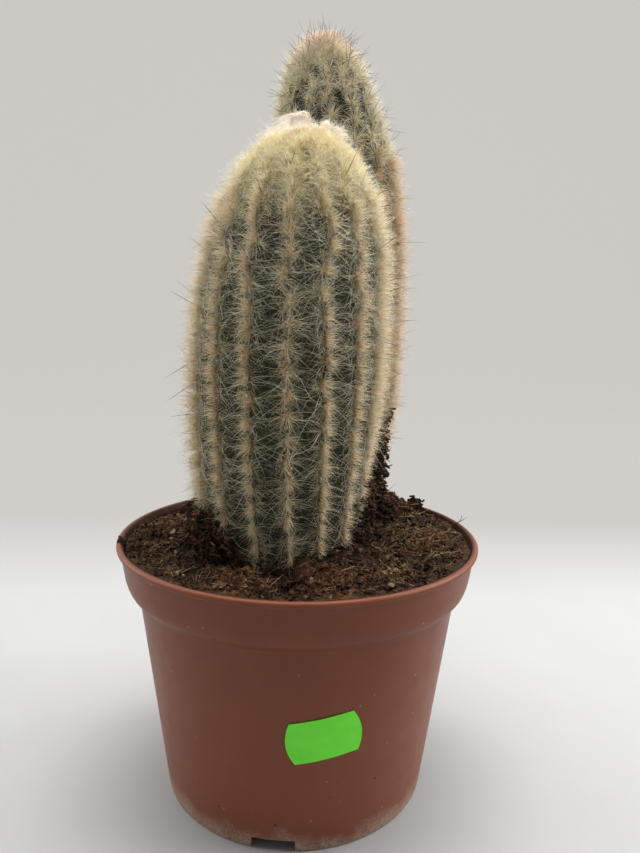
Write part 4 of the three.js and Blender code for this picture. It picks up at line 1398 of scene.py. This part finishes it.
def patch_at(points):
    """The kind of peat at each point; the patches have ragged edges."""
    x, y = points[:, 0], points[:, 1]
    ragged = 1 + 0.5 * bumps(points, 5.0, 71)
    far = np.array([
        np.min([np.hypot(x - px, y - py) / (radius * ragged) for px, py, radius in patches], axis=0)
        for patches in PATCHES.values()
    ])
    far += peat_random.normal(0, 0.15, far.shape)
    return np.where(far.min(axis=0) < 1, np.array(list(PATCHES))[far.argmin(axis=0)], "brown")


def tones_at(points):
    """A tone for each crumb from its patch; a third are dark everywhere, and one in twelve is pale."""
    low, high = np.array([TONE_RANGES[kind] for kind in patch_at(points)]).T
    tones = low + (high - low) * peat_random.random(len(points))
    draw = peat_random.random(len(points))
    dark_ones = 0.35 * peat_random.random(len(points))
    return np.where(draw < 0.33, dark_ones, np.where(draw > 0.92, 1.0, tones))


places = on_peat(9000)
sizes = 0.2 + 0.5 * peat_random.random(len(places)) ** 2.2
crumbs("peat_fine_crumbs", places + sizes[:, None] * (0, 0, 0.35), sizes, tones_at(places))
places = on_peat(900, 63.5)
sizes = 0.6 + 1.1 * peat_random.random(len(places)) ** 2.5
tones = 0.8 * tones_at(places)
crumbs("peat_crumbs", places + sizes[:, None] * (0, 0, 0.25), sizes, tones, subdivisions=2)
places = on_peat(6500, 64.2)
sizes = 0.45 + 0.75 * peat_random.random(len(places)) ** 1.8
crumbs("peat_chips", places + sizes[:, None] * (0, 0, 0.5), sizes, tones_at(places), chips=True)

# %% [markdown]
# Where the peat was pushed up against the columns it broke into clods. Each clod is a small pile of the
# same crumbs and chips: many low, few high. Some crumbs were spilt on the rim too.

# %% Clods, and crumbs on the rim
CLODS = [  # x, y, spread of both, how many, how high, darkest and lightest tone
    (51.5, 38.5, 2.2, 1.6, 170, 7.0, 0.0, 0.5), (38.5, 27.5, 2.2, 1.8, 70, 2.6, 0.74, 0.84),
    (36, 14, 3.4, 2.8, 170, 4.5, 0.0, 0.16), (36, 34, 3.5, 5.0, 120, 4.0, 0.1, 0.6),
    (33, 22, 3.0, 3.0, 140, 3.0, 0.0, 0.5), (29, -8, 3.0, 6.0, 220, 5.0, 0.05, 0.65),
    (32, -45, 3.5, 2.6, 60, 1.8, 0.8, 1.0), (36, -19, 2.4, 2.0, 16, 1.0, 0.86, 1.0),
    (-60, -19, 2.0, 4.6, 60, 1.6, 0.1, 0.7), (-19, -55, 5.0, 3.0, 90, 1.4, 0.5, 0.86),
    (9, -53.5, 5.0, 3.0, 90, 1.4, 0.5, 0.86), (-41, -4, 3.0, 6.0, 160, 5.0, 0.0, 0.45),
    (-38.5, -19, 3.0, 5.0, 280, 6.5, 0.1, 0.7), (-33, -31, 3.4, 3.4, 220, 5.0, 0.1, 0.7),
    (14, -40, 5.0, 3.0, 90, 2.0, 0.0, 0.4), (-58, 0, 4.0, 7.0, 90, 2.0, 0.1, 0.7),
]


def heap(x, y, spread_x, spread_y, count, height, darkest, lightest):
    """One clod, a small pile of crumbs: many low, few high. Gives their places, sizes and tones."""
    random = peat_random
    spread = np.array((spread_x, spread_y))
    places = np.zeros((count, 3))
    places[:, :2] = (x, y) + random.normal(0, 1, (count, 2)) * spread
    far = np.linalg.norm((places[:, :2] - (x, y)) / spread, axis=1)
    places[:, :2] *= np.minimum(1, PEAT_REACH / np.hypot(places[:, 0], places[:, 1]))[:, None]
    pile = height * random.random(count) * np.exp(-0.5 * far ** 2)
    places[:, 2] = peat_surface(places[:, 0], places[:, 1]) + pile
    return places, 0.4 + 0.9 * random.random(count) ** 1.6, random.uniform(darkest, lightest, count)


places, sizes, tones = (np.concatenate(part) for part in zip(*(heap(*row) for row in CLODS)))
flat = peat_random.random(len(places)) < 0.55
crumbs("peat_clods", places[~flat], sizes[~flat], tones[~flat], subdivisions=2)
crumbs("clod_chips", places[flat], sizes[flat], tones[flat], chips=True)

LIP_TOP, LIP_INSIDE, LIP_OUTSIDE = 99.0, 66.5, 69.3
left_spill = -78.5 + peat_random.normal(0, 1.8, 34)  # azimuths
rear_spill = 126.7 + peat_random.normal(0, 1.2, 60)
azimuths = np.concatenate([left_spill, rear_spill])
count = len(azimuths)
on_rim = around(azimuths) * peat_random.uniform(LIP_INSIDE, LIP_OUTSIDE, count)[:, None]
piled = 3.2 * peat_random.random(count) ** 1.5  # only the rear spill is a pile
on_rim[:, 2] = LIP_TOP + np.where(azimuths > 0, piled, 0)
sizes = 0.3 + 0.6 * peat_random.random(count) ** 1.6
crumbs("crumbs_on_rim", on_rim, sizes, 0.5 * peat_random.random(count))

# %% [markdown]
# Watering splashes peat into the hair at a column's foot, and it stays there. It could be a stain in the
# hair's colour, but it has lumps and shadows, so it is more of the crumbs, held at any depth of the fur.

# %% Dirt on the columns' feet
FRONT_DIRT = [  # azimuth, z, spread of both, how far out, count
    (-62, 106, (11, 4.5), 6.5, 1000), (-48, 102, (8, 3.6), 6.5, 600), (-66, 113, (8, 2.6), 5.5, 260),
    (-30, 98, (8, 1.8), 4.5, 160), (82, 103, (10, 4.5), 6.5, 900), (86, 112, (8, 4.0), 5.5, 460),
    (90, 120, (6, 3.5), 4.0, 160), (62, 99, (10, 1.8), 4.5, 180),
]
BACK_DIRT = [  # the same
    (40, 106, (14, 4.5), 4.4, 300), (46, 114, (12, 4.0), 4.6, 320), (48, 123, (9, 4.0), 4.6, 240),
    (52, 133, (7, 4.0), 4.4, 110), (56, 143, (5, 3.0), 4.2, 30), (72, 107, (9, 3.5), 4.4, 120),
    (32, 118, (8, 7.0), 4.6, 320), (36, 134, (7, 6.0), 4.4, 160),
]


def stuck_dirt(name, column, patches):
    """Dirt that hangs in a column's hairs, where it was watered in."""
    places = []
    for azimuth, z, (aside, along), out, count in patches:
        heights = np.maximum(z + peat_random.normal(0, along, count), PEAT_LEVEL)
        run = np.interp(heights, column.line[:, 1], column.run)
        turn = azimuth + peat_random.normal(0, aside, count)
        places.append(column.place(run, turn, out * peat_random.random(count) ** 0.7))
    places = np.vstack(places)
    sizes = 0.35 + 0.9 * peat_random.random(len(places)) ** 1.7
    tones = 0.1 + 0.75 * peat_random.random(len(places)) ** 1.3
    crumbs(name, places[::2], sizes[::2], tones[::2], subdivisions=2)
    crumbs(name + "_chips", places[1::2], sizes[1::2], tones[1::2], chips=True)


stuck_dirt("front_dirt", FRONT, FRONT_DIRT)
stuck_dirt("back_dirt", BACK, BACK_DIRT)

# %% [markdown]
# The peat is mostly fibre: matted threads of half-rotted moss, a few millimetres long. They are strands
# like the hairs, laid over the surface instead of grown from it, and coloured by the same patches as the
# crumbs. One thin twig sticks out over the rim at the right.

# %% Fibres and a twig
def fibre_paths(count, length, rise):
    """Paths of fibres that lie on the peat. rise is how steeply they stand, as (middle, spread)."""
    random = peat_random
    places = on_peat(count, 64.8)
    total = len(places)
    way = around(random.uniform(0, 360, total))
    way[:, 2] = random.normal(*rise, total)
    bend = random.normal(0, 0.8, (total, 3)) * (1, 1, 0.4)
    share = np.linspace(0, 1, 4)[None, :, None]
    size = (length * random.uniform(0.4, 1.4, total))[:, None, None]
    paths = places[:, None] + size * (unit(way)[:, None] * share + bend[:, None] * share ** 2)
    floor = peat_surface(paths[..., 0], paths[..., 1])
    paths[..., 2] = np.maximum(paths[..., 2], floor + 0.1)
    level = np.hypot(paths[..., 0], paths[..., 1]).max(axis=1)
    kept = (level < 66.3) & (np.minimum(FRONT.outside(paths), BACK.outside(paths)).min(axis=1) > -1.5)
    return paths[kept]


def fibre_piece(name, paths, thick, material):
    """Fibres of uneven thickness along these paths."""
    widths = thick * peat_random.uniform(0.5, 1.5, len(paths))
    strand_pieces(name, paths, widths, peat_random.random(len(paths)), material, "peat", blunt=0.3)


paths = fibre_paths(14000, 2.4, (0.20, 0.30))
chosen = patch_at(paths[:, 0])
FIBRES = {"brown": PEAT_FIBRE, "red": RED_FIBRE, "gold": GOLD_FIBRE, "moss": MOSS_FIBRE}
for kind, material in FIBRES.items():
    fibre_piece(f"peat_{kind}_fibres", paths[chosen == kind], 0.2, material)
fibre_piece("peat_threads", fibre_paths(450, 5.0, (0.15, 0.2)), 0.16, GOLD_FIBRE)
fibre_piece("peat_roots", fibre_paths(160, 9.0, (0.1, 0.15)), 0.4, PEAT_FIBRE)
TWIG = np.array([
    [(64.0, 13.6, 97.5), (66.8, 13.8, 99.4), (68.7, 13.9, 100.4), (71.4, 14.2, 102.0)],  # its stem
    [(67.4, 13.8, 99.6), (68.0, 13.2, 101.2), (68.2, 12.8, 102.4), (68.1, 12.5, 103.4)],  # its side shoot
])
strand_pieces("twig", TWIG, np.array([0.55, 0.3]), np.array([0.2, 0.4]), PEAT_FIBRE, "peat", blunt=0.4)

# %% [markdown]
# ## The wool on the crown
# At the growing tip the young areoles are all wool. It stands up in one dense tuft and a small one
# beside it, on a low cushion, and the longest strands are blown to the left. Strands alone would take
# hundreds of thousands to look dense. It is built as soft cores under a coat of strands: the cores stop
# the light, and the strands make the edge soft.

# %% Cores of the wool
wool_core, tree, shader = new_material("matted wool", roughness=0.9, specular=0.15)
placed = place(tree, millimetres, {})
matted = place(tree, mottle, {"Point": placed["Point"], "Size": 1.6, "Softness": 0.25,
                              "Dark": colour("f6ead8"), "Light": colour("fdf8ee")})["Colour"]
feed(tree, shader["Base Color"], matted)
combed = add(tree, "Mapping", {"Vector": placed["Point"], "Scale": (0.35, 1, 1)})
felted = place(tree, grain, {"Point": combed, "Size": 0.5, "Harshness": 0.7})["Height"]
feed(tree, shader["Normal"], bump(tree, felted, 0.5))

wool_random = np.random.default_rng(77)
crown_middle = np.array([*FRONT.centre(FRONT.apex), FRONT.apex])
CUSHION = ((-0.5, 0.6, -1.2), (11.6, 9.0, 4.6))  # place from the apex, and half sizes
TUFT = ((-1.0, 1.0, 4.0), (2.8, 2.4, 3.2))
BUTTON = ((7.4, 0.0, 3.9), (1.6, 1.6, 2.2))
ball, ball_faces = ball_mesh(4)
core_points, core_faces = [], []
for i, (middle, half) in enumerate((CUSHION, TUFT, BUTTON)):
    lumps = 1 + 0.07 * bumps(ball * half, 1.4, 50 + i) + 0.05 * bumps(ball * half, 0.6, 60 + i)
    core_points.append(crown_middle + middle + ball * half * lumps[:, None])
    core_faces.append(ball_faces + i * len(ball))
core = mesh_object("wool_core", np.vstack(core_points), [np.vstack(core_faces)], wool_core)
finish_piece(core, "wool", "crown_wool")

# %% [markdown]
# Each core gets a coat of strands that start a little inside it and are combed one way. Two looser coats
# sweep to the left and hang out at the right, and a band of ochre down lies under the wool's front edge,
# where the crown is at its most yellow.

# %% Strands of the wool
def wool_coat(name, middle, half, count, length, blown, lift, thick=0.11, from_z=-0.2, curl=0.05,
              material=WOOL):
    """Curling strands over one core. blown is the way that they are combed, lift how far they stand off,
    and from_z how far down the core they start, from -1 at its foot to 1 at its top."""
    random = wool_random
    ball = unit(random.normal(0, 1, (count * 3, 3)))
    ball = ball[ball[:, 2] > from_z][:count]
    total = len(ball)
    roots = crown_middle + middle + ball * half * 0.93
    out = unit(ball / np.array(half))
    level = np.array(blown) - out * (out @ np.array(blown))[:, None]
    way = unit(lift * out + level + random.normal(0, 0.30, (total, 3)))
    share = np.linspace(0, 1, 7)[None, :, None]
    size = (length * random.uniform(0.6, 1.3, total))[:, None, None]
    bend = random.normal(0, 0.25, (total, 3)) + (0, 0, -0.22) - 0.25 * out
    paths = roots[:, None] + size * (way[:, None] * share + bend[:, None] * share ** 2)
    phase = random.uniform(0, 2 * math.pi, (total, 1, 1))
    swing = unit(np.cross(way, random.normal(0, 1, (total, 3))))
    paths += swing[:, None] * size * curl * (np.sin(share * 9 + phase) - np.sin(phase)) * share
    paths = paths[BACK.outside(paths).min(axis=1) > 0.2]
    widths = thick * random.uniform(0.7, 1.3, len(paths))
    strand_pieces(name, paths, widths, random.random(len(paths)), material, "wool")


wool_coat("wool_tuft", *TUFT, count=1500, length=3.6, blown=(-1.0, -0.25, 0.5), lift=0.45, from_z=-0.7)
wool_coat("wool_button", *BUTTON, count=360, length=1.3, blown=(0.3, -0.2, 0.2), lift=0.25, from_z=-0.7)
wool_coat("wool_cushion", *CUSHION, count=1900, length=4.2, blown=(-0.25, -0.2, 0.0), lift=0.9, from_z=0.0)
wool_coat("wool_sweep", (-5.5, 0.4, 1.4), (4.4, 2.6, 1.4), count=170, length=7.0,
          blown=(-1.0, -0.15, 0.05), lift=0.3, thick=0.12)
wool_coat("wool_wisps", (9.0, 0.4, 1.2), (3.2, 2.6, 2.0), count=240, length=6.0,
          blown=(0.9, -0.4, 0.2), lift=0.7, thick=0.12, curl=0.2)
wool_coat("ochre_band", (1.6, -6.4, -1.2), (6.2, 3.2, 2.6), count=1000, length=2.4,
          blown=(0.1, -0.4, -0.5), lift=0.9, thick=0.13, material=OCHRE_DOWN)

# %% [markdown]
# The longest wool hangs together in locks, as wet or old wool does. A lock is a bundle of strands that
# share one arc over the tuft and fray more and more towards their tips.

# %% Locks of wool
def wool_locks(name, count, strands, thick):
    """Locks that lie over the tuft and trail away to the left."""
    random = wool_random

    def each_lock(low, high):
        return np.repeat(random.uniform(low, high, count), strands)[:, None]

    share = np.linspace(0, 1, 10)[None]
    root = [each_lock(1.4, 3.4), each_lock(-2.0, 2.0), each_lock(0.6, 2.4)]
    reach, rise = each_lock(8, 15), each_lock(1.6, 3.0)
    droop, aside = each_lock(-1.0, 3.4), each_lock(-2.5, 1.5)
    paths = np.stack([root[0] - reach * share, root[1] + aside * share,
                      root[2] + rise * np.sin(np.pi * np.sqrt(share)) - droop * share ** 2], axis=-1)
    fray = random.normal(0, 1, (len(paths), 1, 3)) * (0.12 + 0.5 * share[..., None] ** 1.5)
    waves = np.sin(share[..., None] * 7 + random.uniform(0, 6, (len(paths), 1, 3))) * 0.25
    paths = crown_middle + TUFT[0] + paths + fray + waves
    widths = thick * random.uniform(0.7, 1.3, len(paths))
    strand_pieces(name, paths, widths, random.random(len(paths)), WOOL, "wool")


wool_locks("wool_locks", count=24, strands=6, thick=0.16)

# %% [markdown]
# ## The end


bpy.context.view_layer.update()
meshes = [piece.data for piece in scene.objects if piece.type == "MESH"]
print("triangles in all:", sum(len(face.vertices) - 2 for mesh in meshes for face in mesh.polygons))
